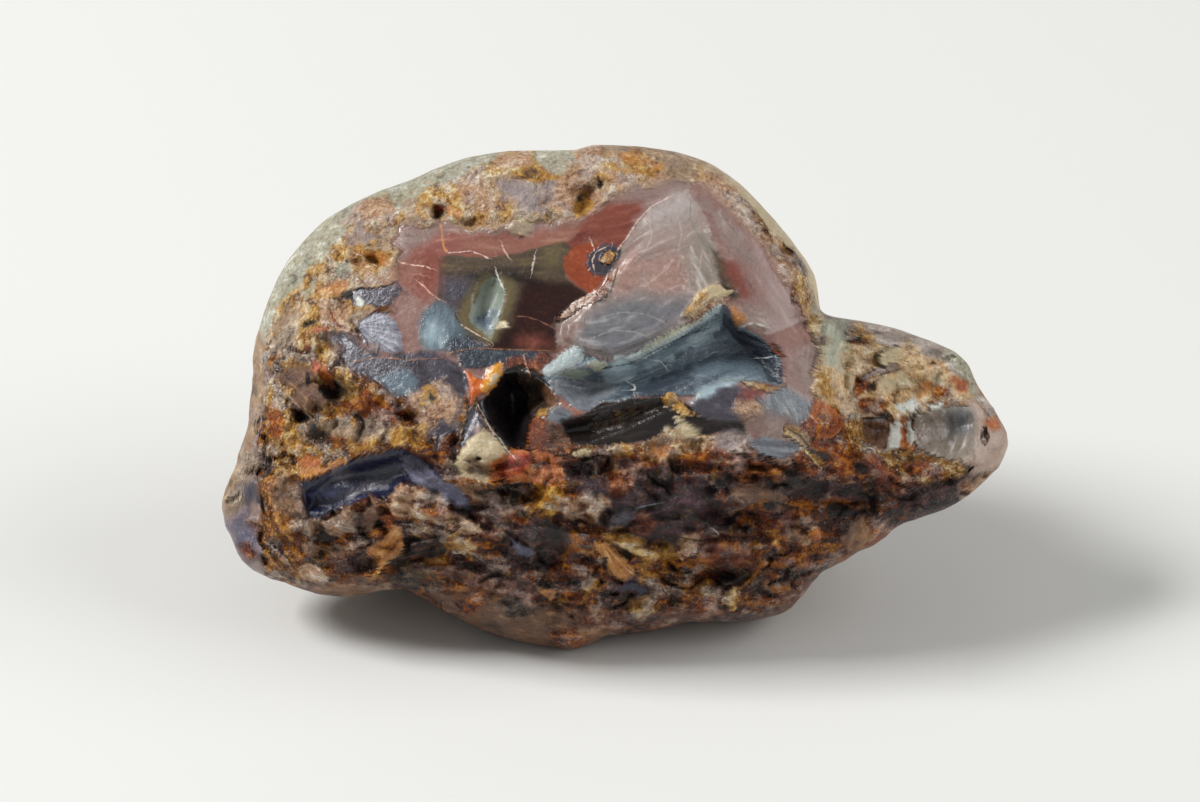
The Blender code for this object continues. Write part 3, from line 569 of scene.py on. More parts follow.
# The big pale facet, its crumbling edge, the yellow leaf and the slate pocket under it.
FACET_AND_POCKET = (
    Patch(FACET_PINK, "556,326 572,312 600,298 613,272 620,248 648,210 666,197 688,189 700,206 712,232 "
        "723,276 720,286 704,300 692,318 668,336 640,354 612,361 592,354 576,346 558,346",
        N, (585, 275), soft=0.12, ragged=0.1, ripple=0.05),
    Patch(FACET_PALE, "640,222 652,208 668,198 688,193 696,208 680,222 656,226", soft=1.2),
    Patch(FACET_ROSE, "608,296 618,262 634,248 648,262 640,284 626,298", R, (640, 275), soft=0.9),
    Patch(FACET_ROSE, "644,290 646,264 664,250 688,258 690,284 668,298", R, (680, 272), soft=0.9),
    Patch(SILVER, "690,236 704,232 716,262 720,284 704,296 690,286 686,260", S, (-65.0,), soft=1.2),
    Patch(FACET_GREY, "578,344 576,330 592,312 606,300 640,297 680,298 696,300 690,312 636,354 612,359 "
        "592,352", R, (600, 250), soft=1.5, ragged=0.3),
    Patch(GREY_PINK, "556,326 572,314 584,322 576,334 572,346 560,344", soft=0.4),
    Patch(CRUMBLE, "555,322 558,317 584,297 596,294 604,287 608,277 614,268 619,270 606,296 594,303 "
        "578,309 566,318", soft=0.06, ragged=0.5, rise=0.3, wall=0.4),
    Patch(SALMON, "592,294 600,284 604,276 608,278 604,288 598,294", soft=0.2),
    Patch(OLIVE_AGATE, "711,248 718,252 730,268 740,286 742,298 732,298 722,288 716,270",
        soft=0.3, ragged=0.2),
    Patch(SMOKY, "718,276 726,284 738,292 732,297 722,288", soft=0.2),
    Patch(RED_AGATE, "724,262 734,262 748,284 752,300 742,300", soft=0.8),
    Patch(GREY_PINK, "700,192 724,212 744,238 752,262 738,262 704,214", S, (-55.0,), soft=0.7),
    Patch(GREY_PINK, "740,304 752,300 764,306 772,324 756,330 742,320", soft=0.9),
    Patch(GREY_PINK, "800,345 818,352 819,380 806,396 796,380 794,356", S, (80.0,), soft=0.8),
    Patch(POCKET_SLATE, "543,378 556,364 578,350 590,356 612,362 640,356 662,342 690,328 712,313 720,306 "
        "728,312 740,326 760,336 777,350 784,366 785,385 760,384 742,380 712,386 692,396 650,396 600,402 "
        "586,412 570,404 556,392", S, (20.0,), soft=0.1, ragged=0.15),
    Patch(CREAM, "682,317 698,292 710,285 720,283 727,289 737,290 726,296 714,300 702,308 691,318",
        soft=0.08, ragged=0.1, rise=0.5, wall=0.4),
    Patch(YELLOW_OCHRE, "684,316 700,293 712,288 706,298 688,317", soft=0.3, ragged=0.2),
    Patch(PINK_CRUST, "690,318 702,306 714,299 723,299 722,305 706,312 694,320", soft=0.2),
    Patch(ICE, "612,357 634,353 672,330 706,315 720,303 720,312 648,357 628,363 612,363",
        S, (28.0,), soft=0.15, ragged=0.45),
    Patch(GREEN_CHALK, "640,352 656,339 674,329 706,315 690,327 668,338 650,350", soft=0.2, ragged=0.4),
    Patch(SLATE_LIGHT, "604,372 612,362 640,364 690,340 722,316 720,330 706,342 688,348 642,374 622,382 "
        "606,382", S, (25.0,), soft=0.35, ragged=0.4),
    Patch(DARK_SLATE, "640,384 664,370 690,366 700,378 712,380 700,388 664,394 624,398 612,396",
        S, (15.0,), soft=0.6, ragged=0.5),
    # Dark slate, painted darker still as the shadow that the overhanging lip casts over the pocket's right
    # end.
    Patch(DARK_SLATE, "722,305 728,308 737,318 738,330 758,338 774,350 785,372 783,385 768,382 762,366 "
        "734,340 722,324", soft=0.15, ragged=0.2),
    Patch(AMBER, "726,299 738,308 742,318 735,324 728,312", soft=0.3),
    Patch(RED_BROWN, "770,342 778,346 784,356 778,356 770,350", soft=0.2),
    Patch(ICE, "541,371 548,363 560,353 576,346 584,350 582,359 572,366 548,377",
        S, (38.0,), soft=0.15, ragged=0.3, rise=0.3),
    Patch(GREEN_CHALK, "584,363 596,359 609,361 603,369 594,372", ragged=0.2),
    Patch(GREEN_CHIP, "556,377 570,369 585,368 590,373 580,380", S, (15.0,), soft=0.15, ragged=0.1),
    Patch(BLUE_GREY, "546,379 604,381 622,386 614,394 600,401 588,411 580,410 556,394",
        soft=0.2, ragged=0.25, rise=0.3),
    Patch(SMOKY, "560,420 588,412 604,402 664,396 686,402 704,412 744,422 748,434 700,434 666,430 "
        "648,440 606,446 572,444", S, (10.0,), soft=0.2, ragged=0.2),
    Patch(OLIVE_BLACK, "590,428 606,414 640,404 664,402 612,426", S, (20.0,), soft=0.4),
    Patch(YELLOW_OCHRE, "660,397 672,394 681,400 690,411 697,414 684,417 676,409 664,404",
        soft=0.12, ragged=0.4, rise=0.4),
    Patch(CREAM, "675,417 682,415 684,422 677,424", ragged=0.15),
    Patch(SLATE_MAUVE, "690,404 702,392 728,384 768,392 768,404 758,414 744,422 716,420 700,416",
        soft=0.25, ragged=0.2, rise=0.4),
    Patch(SLATE_LIGHT, "690,402 702,388 724,380 742,380 728,388", S, (25.0,), soft=0.3),
    Patch(PINK_CRUST, "738,402 754,400 764,408 760,416 744,420 736,412", soft=0.5, ragged=0.4),
    Patch(RED_AGATE, "738,386 762,388 768,398 750,400 738,396", soft=0.6),
    Patch(YELLOW_OCHRE, "744,381 774,387 786,384 785,389 768,392 750,388", soft=0.12, ragged=0.15),
    Patch(BLUE_GREY, "768,394 785,386 800,394 813,405 808,422 798,426 784,420 770,420 762,410",
        S, (110.0,), soft=0.3, ragged=0.2),
    Patch(GREY_PINK, "748,426 764,412 786,416 794,428 786,440 764,440", soft=1.0, ragged=0.4),
    Patch(BLUE_GREY, "744,440 766,438 804,442 804,450 782,459 762,456 750,449",
        S, (-5.0,), soft=0.2, ragged=0.3),
)

# The crest under the pocket and the red and fibrous spots left of it.
CREST = (
    Patch(RUST, "600,458 640,452 746,446 760,460 790,464 780,478 740,476 700,470 620,468",
        S, (3.0,), soft=0.4, ragged=0.5),
    Patch(CREST_TAN, "640,446 666,429 685,427 702,434 742,435 748,443 738,450 718,448 660,459 644,456",
        soft=0.2, ragged=0.6),
    Patch(AMBER, "650,446 664,440 672,446 668,456 652,457", soft=0.5),
    Patch(CREAM, "668,432 690,429 700,436 680,438 676,448 670,442", soft=0.4, ragged=0.6),
    Patch(LILAC_GREY, "714,437 742,434 749,443 738,450 716,448", soft=0.8, ragged=0.4),
    Patch(YELLOW_OCHRE, "606,451 617,444 636,443 634,452 625,460", rise=0.3),
    Patch(TAUPE, "600,458 612,456 622,462 616,470 602,468", ragged=0.4),
    Patch(CREAM, "570,453 584,446 594,448 590,456 574,459", ragged=0.3),
    Patch(ORANGE, "488,462 502,454 522,449 548,450 562,458 562,480 545,487 505,479 492,483",
        soft=0.2, ragged=0.5),
    Patch(RED, "498,464 510,456 530,452 534,460 524,470 508,478 498,476", soft=0.2, ragged=0.3, rise=0.3),
    Patch(PINK_CRUST, "496,462 504,462 502,472 492,472", soft=0.15, ragged=0.3),
    Patch(CRUMBLE, "528,466 552,456 550,462 538,468", ragged=0.4),
    Patch(FIBROUS, "508,500 514,488 546,482 562,494 564,508 550,518 528,520 511,513",
        S, (55.0,), soft=0.2, ragged=0.3),
    Patch(OLIVE_BLACK, "509,504 513,490 520,492 518,504 512,508", ragged=0.2),
    Patch(RUST, "500,510 530,520 550,519 546,527 524,527 506,520", soft=0.2),
    Patch(GREY_PINK, "484,490 496,485 504,498 500,510 488,506", soft=0.3),
    Patch(TAUPE, "440,478 478,484 490,492 486,506 460,494", S, (-25.0,), soft=0.2, ragged=0.4),
    Patch(YELLOW_OCHRE, "783,434 787,424 798,425 812,440 820,462 814,464 796,440",
        S, (-50.0,), ragged=0.3),
    Patch(RUST, "790,455 804,454 812,464 800,471 788,466", soft=0.2),
    Patch(ORANGE, "806,422 811,406 820,394 847,420 842,432 828,440 812,437",
        N, (820, 450), soft=0.15, ragged=0.3),
    Patch(RUST, "806,424 820,410 842,422 838,434 812,438", soft=0.4, ragged=0.5),
)

# The left lobe.
LEFT_LOBE = (
    Patch(SUGARY, "262,400 285,350 312,352 326,372 334,400 322,440 345,452 300,478 268,470",
        soft=0.5, ragged=0.6),
    Patch(GLASSY_BROWN, "276,378 300,362 322,380 330,400 312,416 292,400",
        S, (-45.0,), soft=0.4, ragged=0.5),
    Patch(ORANGE, "321,362 328,366 334,378 334,389 326,385 320,374", soft=0.15, ragged=0.15, rise=0.4),
    Patch(RED, "310,359 319,362 321,372 313,372", soft=0.2),
    Patch(HOLE_SHADE, "317,386 335,388 337,396 330,400 321,396", soft=0.1, ragged=0.15),
    Patch(HOLE_SHADE, "293,415 301,411 312,418 306,423 297,423", soft=0.08, ragged=0.1),
    Patch(HOLE_SHADE, "305,370 309,372 311,385 307,387 304,378", soft=0.1, ragged=0.1),
    Patch(OCHRE_CRUST, "336,364 346,368 362,394 358,402 344,402 337,390"),
    Patch(RUST, "342,400 356,402 360,414 348,416 340,408", soft=0.3),
    Patch(RUST, "359,398 370,391 402,410 402,418 386,421 366,419", soft=0.5, ragged=0.6),
    Patch(YELLOW_OCHRE, "346,441 370,438 384,428 402,424 422,422 426,432 412,440 376,446 358,447",
        soft=0.5, ragged=0.6),
    Patch(TAN_RIND, "322,422 350,426 380,420 384,428 366,438 334,438", soft=0.3, ragged=0.5),
    Patch(HOLE_SHADE, "307,422 316,422 320,431 316,437 308,434", soft=0.3, ragged=0.2),
    Patch(YELLOW_OCHRE, "286,424 304,424 308,440 302,456 288,450", soft=0.4, ragged=0.5),
    Patch(RUST, "267,406 276,403 283,418 285,430 276,440 268,432", soft=0.2),
    Patch(GREY_PINK, "216,510 226,480 246,462 256,470 262,500 262,518 250,522 253,536 262,548 266,582 "
        "250,578 236,560 226,530", S, (80.0,), soft=0.4, ragged=0.5),
    Patch(TAN_RIND, "230,470 246,460 256,472 250,492 236,512 220,518 216,500", soft=0.8, ragged=0.5),
    Patch(LILAC_BLUE, "228,520 246,512 252,530 256,556 244,566 232,544", soft=1.0, ragged=0.6),
    Patch(SLATE_MAUVE, "242,482 256,480 260,500 246,504", S, (80.0,), soft=0.4),
    Patch(RED_BROWN, "238,545 246,545 255,556 252,563 243,562", soft=0.35),
    Patch(BROWN_CRUST, "262,522 276,516 292,536 306,592 288,590 272,572 264,550", S, (-55.0,), soft=0.5),
    Patch(TAUPE, "268,484 284,474 298,478 305,510 294,516 278,512 268,500",
        soft=0.6, ragged=0.6, rise=0.4),
    Patch(ORANGE, "300,462 308,455 322,460 318,469 306,470", soft=0.4),
    Patch(AMBER, "298,472 345,456 346,463 304,481", ragged=0.2),
    Patch(INDIGO, "299,484 344,464 358,455 402,448 430,462 446,482 430,485 404,482 390,499 370,498 "
        "358,501 318,519 307,518 306,505", S, (15.0,), soft=0.25, ragged=0.4),
    Patch(SLATE_MAUVE, "326,474 340,466 348,474 340,484 334,482", soft=0.4),
    Patch(SLATE_MAUVE, "336,490 356,484 372,484 368,490 346,494", soft=0.3),
    Patch(LILAC_BLUE, "398,456 415,458 432,469 442,480 456,484 472,505 484,514 470,515 412,480",
        S, (-35.0,), soft=0.2, ragged=0.3, rise=0.3),
    Patch(PURPLE_BROWN, "436,498 456,502 502,524 492,532 446,510", S, (-25.0,), soft=0.2),
    Patch(TAUPE, "295,519 320,518 321,526 310,539 302,536", S, (80.0,), ragged=0.2, rise=0.3),
    Patch(HOLE_SHADE, "318,521 340,539 326,544 314,541 320,533", ragged=0.2, rise=-0.8, wall=0.8),
    Patch(TAUPE, "321,521 335,512 350,508 361,515 357,528 345,532 340,538 330,535", rise=0.5),
    Patch(GLASSY_BROWN, "361,509 372,502 381,508 381,522 372,531 362,529 358,519",
        soft=0.4, ragged=0.4, rise=0.3),
    Patch(RUST, "383,512 396,505 403,516 397,530 385,536 380,525", soft=0.4),
    Patch(PINK_CRUST, "345,540 358,538 366,544 363,552 350,551", rise=0.5),
    Patch(AMBER, "366,548 402,524 405,550 397,558 388,561 374,583 366,584 379,558 368,556",
        S, (50.0,), ragged=0.3, rise=0.3),
    Patch(TAUPE, "322,550 334,542 346,547 343,556 328,558", rise=0.5, ragged=0.2),
    Patch(TAUPE, "300,545 312,541 321,548 319,556 306,557", rise=0.5, ragged=0.2),
    Patch(OLIVE_BLACK, "302,557 322,558 324,566 304,566", soft=0.3),
    Patch(PINK_CRUST, "297,568 312,564 326,572 330,581 316,584 302,580", rise=0.3),
    Patch(PURPLE_BROWN, "326,560 360,552 366,566 350,574 332,572", soft=0.4),
    Patch(RIND_BROWN, "296,588 322,582 362,580 402,584 404,596 360,604 322,600", S, (-5.0,), soft=0.8),
)

# The lower face left and right of the middle, with its ledges, caves and pebbles.
LOWER_FACE = (
    Patch(PINK_CRUST, "392,492 402,484 422,486 442,492 452,500 448,512 470,520 482,532 468,537 428,520 "
        "394,516 386,506", S, (-20.0,), soft=0.2, rise=0.4),
    Patch(RUST, "414,500 428,497 441,500 448,507 443,519 432,514", soft=0.3),
    Patch(FIBROUS, "410,522 462,536 476,548 470,558 450,552 412,532", S, (-22.0,), soft=0.3, ragged=0.5),
    Patch(HOLE_SHADE, "408,552 424,545 440,544 447,550 440,559 424,560", soft=0.3, rise=-0.8, wall=0.8),
    Patch(YELLOW_OCHRE, "446,536 458,538 470,548 464,556 452,548", ragged=0.5),
    Patch(AMBER, "424,558 440,558 452,562 446,568 430,566", soft=0.3),
    Patch(LEDGE_MAUVE, "410,558 430,565 480,566 520,572 540,590 548,602 530,607 500,594 468,586 420,568",
        S, (-18.0,), soft=0.25, ragged=0.4, rise=0.3),
    # Painted shade: the dark of a shallow cave, which is also cut in a little.
    Patch(OLIVE_BLACK, "390,564 400,556 410,558 440,582 430,589 408,586 396,578",
        soft=0.6, ragged=0.6, rise=-0.8, wall=0.9),
    Patch(GLASSY_BROWN, "430,590 470,594 500,602 540,604 600,612 625,640 560,655 500,645 455,622",
        S, (-8.0,), soft=0.4, ragged=0.5),
    Patch(RUST, "454,598 478,598 485,606 474,614 460,609", soft=0.4),
    Patch(OLIVE_BLACK, "504,604 520,602 532,610 522,618 506,614", soft=0.4),
    Patch(RUST, "552,636 575,632 590,640 576,650 556,648", soft=0.6),
    Patch(LEDGE_MAUVE, "572,612 600,606 622,612 622,630 600,632 580,622", soft=1.2, ragged=0.6),
    Patch(PURPLE_BROWN, "494,526 520,520 560,518 570,538 556,562 545,574 530,572 512,576 502,560 508,545",
        soft=0.4, ragged=0.6),
    Patch(HOLE_SHADE, "545,522 564,522 566,540 552,546 542,534", soft=0.5),
    Patch(LILAC_BLUE, "512,537 531,548 537,555 528,557 517,552 513,546",
        S, (-50.0,), ragged=0.3, rise=0.4),
    Patch(AMBER, "534,584 557,590 555,600 548,603", soft=0.2, rise=0.3),
    Patch(LEDGE_MAUVE, "474,505 492,508 502,518 508,532 492,536 478,524",
        S, (-30.0,), soft=0.3, ragged=0.4),
    Patch(PURPLE_BROWN, "562,464 600,460 612,476 610,492 586,496 568,488",
        S, (-50.0,), soft=0.4, ragged=0.5),
    Patch(PURPLE_BROWN, "604,500 640,478 680,472 735,506 746,530 672,548 652,540 636,528 612,528",
        S, (10.0,), soft=0.6, ragged=0.8),
    Patch(VIOLET_DARK, "576,488 610,476 660,468 712,476 730,500 710,530 676,548 620,536 590,520",
        S, (6.0,), soft=1.2, ragged=1.0),
    Patch(RED_BROWN, "608,480 614,470 628,466 638,471 637,482 628,492 618,495 610,489",
        R, (622, 480), soft=0.5, ragged=0.3, rise=0.6, wall=0.9),
    Patch(PINK_CRUST, "558,500 580,496 606,500 614,508 602,516 580,520 562,515",
        S, (-4.0,), soft=0.3, ragged=0.5, rise=0.4),
    Patch(SLATE_MAUVE, "604,514 624,510 640,518 630,524 608,522", S, (5.0,), soft=0.9, ragged=0.5),
    Patch(RED_BROWN, "634,520 646,515 657,522 652,532 638,532", soft=0.5, rise=0.4),
    Patch(TAUPE, "676,538 690,530 702,532 700,544 682,552", soft=0.3, ragged=0.5),
    Patch(YELLOW_OCHRE, "604,538 620,534 640,542 666,547 680,556 660,561 638,556 618,549",
        S, (-12.0,), soft=0.5, ragged=0.7, rise=0.3),
    Patch(RED_BROWN, "699,542 718,539 738,542 747,552 738,566 714,570 700,565",
        soft=0.6, ragged=0.4, rise=0.6, wall=0.8),
    Patch(PINK_CRUST, "676,552 686,543 699,542 697,553 682,558", rise=0.3),
    Patch(AMBER, "591,546 606,541 627,560 638,575 625,581 609,575 602,560",
        N, (600, 540), soft=0.25, ragged=0.4),
    Patch(HOLE_SHADE, "602,556 608,559 608,572 603,570", ragged=0.15, rise=-0.5),
    Patch(HOLE_SHADE, "616,548 628,549 634,555 629,562", ragged=0.2, rise=-0.6),
    Patch(INDIGO, "613,586 630,579 649,582 652,600 620,593", soft=0.7, rise=-0.5, wall=0.8),
    Patch(FIBROUS, "578,580 596,577 602,590 588,596", S, (40.0,), soft=0.3),
    Patch(FIBROUS, "640,566 680,574 720,590 716,602 646,582", S, (-18.0,), soft=0.5, ragged=0.6),
    Patch(YELLOW_OCHRE, "628,602 650,598 656,608 644,618 630,614", soft=0.4),
    Patch(RUST, "693,598 710,598 714,610 698,612", soft=0.4),
    Patch(HOLE_SHADE, "711,565 738,578 750,570 752,576 740,585 722,580", ragged=0.2, rise=-0.7, wall=0.7),
    Patch(YELLOW_OCHRE, "722,596 736,588 740,600 732,612 726,608", ragged=0.4),
    Patch(OLIVE_BLACK, "752,580 764,574 766,594 754,598", soft=0.4),
    Patch(PURPLE_BROWN, "700,478 740,480 800,472 900,486 905,500 740,496",
        S, (-2.0,), soft=0.6, ragged=0.8),
    Patch(HOLE_SHADE, "778,474 792,470 802,478 798,488 784,488", soft=0.6),
    Patch(GLASSY_BROWN, "736,484 780,490 790,500 760,504 736,500", S, (0.0,), soft=0.4, ragged=0.5),
    Patch(RUST, "812,440 850,440 856,470 844,480 806,478 800,470 830,466 816,452",
        S, (-28.0,), soft=0.3, ragged=0.4),
    Patch(HOLE_SHADE, "806,446 828,454 830,461 816,458 808,452", ragged=0.2),
    Patch(HOLE_SHADE, "804,489 811,481 824,480 829,489 819,499 806,500", soft=0.25, rise=-0.6, wall=0.9),
    Patch(HOLE_SHADE, "760,504 774,500 800,508 796,512 780,511 766,509", soft=0.12, ragged=0.15, rise=-0.6),
    Patch(HOLE_SHADE, "824,510 830,502 842,502 852,510 869,514 866,519 834,517",
        soft=0.15, ragged=0.2, rise=-0.6),
    Patch(HOLE_SHADE, "877,517 887,509 902,508 902,513 886,518", soft=0.15, ragged=0.15),
    Patch(RED_BROWN, "758,516 775,510 792,512 797,520 785,529 768,529",
        R, (775, 505), soft=0.5, ragged=0.4, rise=0.5, wall=0.8),
    Patch(AMBER, "767,532 778,530 783,545 780,554", soft=0.3, ragged=0.3),
    Patch(TAUPE, "780,528 800,526 806,538 790,542", soft=0.3, ragged=0.6),
    Patch(ORANGE, "811,535 815,528 822,528 822,540 814,541", soft=0.2, rise=0.4),
    Patch(RED_BROWN, "852,440 862,449 884,450 908,475 930,486 908,496 890,491 870,478 858,464",
        S, (-35.0,), soft=0.5, ragged=0.5, rise=0.3),
    Patch(HOLE_SHADE, "852,463 862,462 872,470 862,475 854,471", soft=0.2, ragged=0.2, rise=-0.5),
    Patch(RUST, "866,530 882,522 892,530 880,546 866,552", soft=0.5),
    Patch(GLASSY_BROWN, "842,524 864,518 870,536 856,552 844,544", S, (70.0,), soft=0.4),
)

# The right lobe.
RIGHT_LOBE = (
    Patch(YELLOW_OCHRE, "848,334 854,326 864,323 873,331 869,341 858,343", soft=0.4),
    Patch(HOLE_SHADE, "844,344 854,338 862,337 863,342", soft=0.15, ragged=0.15, rise=-0.5),
    Patch(PALE_OCHRE, "820,366 850,376 846,398 826,404 816,388", soft=0.4, ragged=0.5),
    Patch(YELLOW_OCHRE, "819,372 828,372 832,396 824,398 818,386", soft=0.4),
    Patch(PALE_OCHRE, "872,372 900,368 920,372 924,400 868,404", soft=0.5, ragged=0.6),
    Patch(CREAM, "877,353 890,346 906,351 906,362 886,368 877,362", soft=0.2),
    Patch(GREY_PINK, "858,378 872,370 900,363 902,368 862,382", ragged=0.2),
    Patch(RUST, "852,392 856,372 861,380 873,382 854,400", soft=0.12, ragged=0.2),
    Patch(CREAM, "847,372 852,368 853,388 849,396 846,388", ragged=0.3),
    Patch(OLIVE_BLACK, "866,387 872,383 877,385 875,391 868,392", soft=0.12, ragged=0.15),
    Patch(AMBER, "914,354 922,352 932,360 945,363 946,369 934,369", soft=0.2),
    Patch(ORANGE, "942,373 954,374 968,381 966,390 944,384", soft=0.3),
    Patch(GREEN_CHALK, "922,368 938,366 944,376 938,388 926,380", soft=0.3),
    Patch(AMBER, "921,384 930,380 935,388 928,397 921,396", soft=0.3),
    Patch(RUST, "932,390 946,386 950,396 940,402 930,398", soft=0.3),
    Patch(RUST, "852,402 872,398 888,402 884,414 860,414", S, (-10.0,), soft=0.3, ragged=0.4),
    Patch(WHITE_QUARTZ, "897,402 912,398 918,406 906,412 896,410", soft=0.2, ragged=0.7),
    Patch(SUGARY, "848,414 862,413 867,440 882,448 866,453 854,442 846,430", soft=0.2, ragged=0.4),
    Patch(GLASSY_BROWN, "861,418 890,414 893,424 890,440 885,449 870,446 863,436",
        S, (75.0,), soft=0.15, ragged=0.15),
    Patch(SMOKY, "864,419 888,411 894,417 880,421", soft=0.25, ragged=0.1),
    Patch(SILVER, "914,416 940,406 960,403 976,405 984,416 987,432 982,448 972,462 958,460 940,462 "
        "922,452 914,444", R, (915, 432), soft=0.15, ragged=0.2, ripple=0.07),
    Patch(BLUE_GREY, "948,412 962,408 972,416 968,432 954,434", R, (915, 432), soft=1.2, ragged=0.2),
    Patch(PINK_CRUST, "922,402 944,398 970,400 964,406 926,410", soft=0.2, ragged=0.4),
    Patch(WHITE_QUARTZ, "928,404 944,402 940,409 930,409", soft=0.2, ragged=0.5),
    Patch(ORANGE, "901,414 906,416 908,444 918,449 906,453 899,449", soft=0.12, ragged=0.15),
    Patch(WHITE_QUARTZ, "891,426 897,418 902,424 899,448 892,454 886,451",
        S, (80.0,), soft=0.1, ragged=0.15, rise=0.5, wall=0.4),
    Patch(WHITE_QUARTZ, "906,420 911,419 915,440 911,446 907,440",
        S, (85.0,), soft=0.12, ragged=0.3, rise=0.3, wall=0.4),
    Patch(PINK_TIP, "966,398 978,400 990,416 1004,420 1014,446 1006,464 990,478 972,480 960,464 973,456 "
        "979,438 977,416", soft=0.5, ragged=0.2),
    Patch(CRUMBLE, "981,431 987,428 990,436 988,445 983,443", soft=0.2, ragged=0.2),
    Patch(ORANGE, "986,421 994,419 1000,428 992,430", soft=0.6),
    Patch(SUGARY, "880,452 905,448 974,468 962,480 935,483 905,480 890,468",
        S, (-15.0,), soft=0.2, ragged=0.5),
    Patch(RUST, "905,462 930,462 948,474 930,480 906,476", soft=0.5, ragged=0.6),
    Patch(CREAM, "880,376 902,370 916,380 908,394 888,392", soft=0.6, ragged=0.8),
    Patch(PALE_OCHRE, "902,346 936,356 950,372 930,380 904,368", soft=0.6, ragged=0.8),
    Patch(PURPLE_BROWN, "904,486 940,482 992,470 962,504 930,516 902,512",
        S, (20.0,), soft=0.3, ragged=0.3),
    Patch(PINK_CRUST, "960,486 1000,468 985,490 962,508", soft=0.5),
)

PATCHES = (
    *GROUNDS, *RIM, *UPPER_CRUST, *HEART_ZONES, *MIDDLE, *FACET_AND_POCKET, *CREST, *LEFT_LOBE,
    *LOWER_FACE, *RIGHT_LOBE,
)

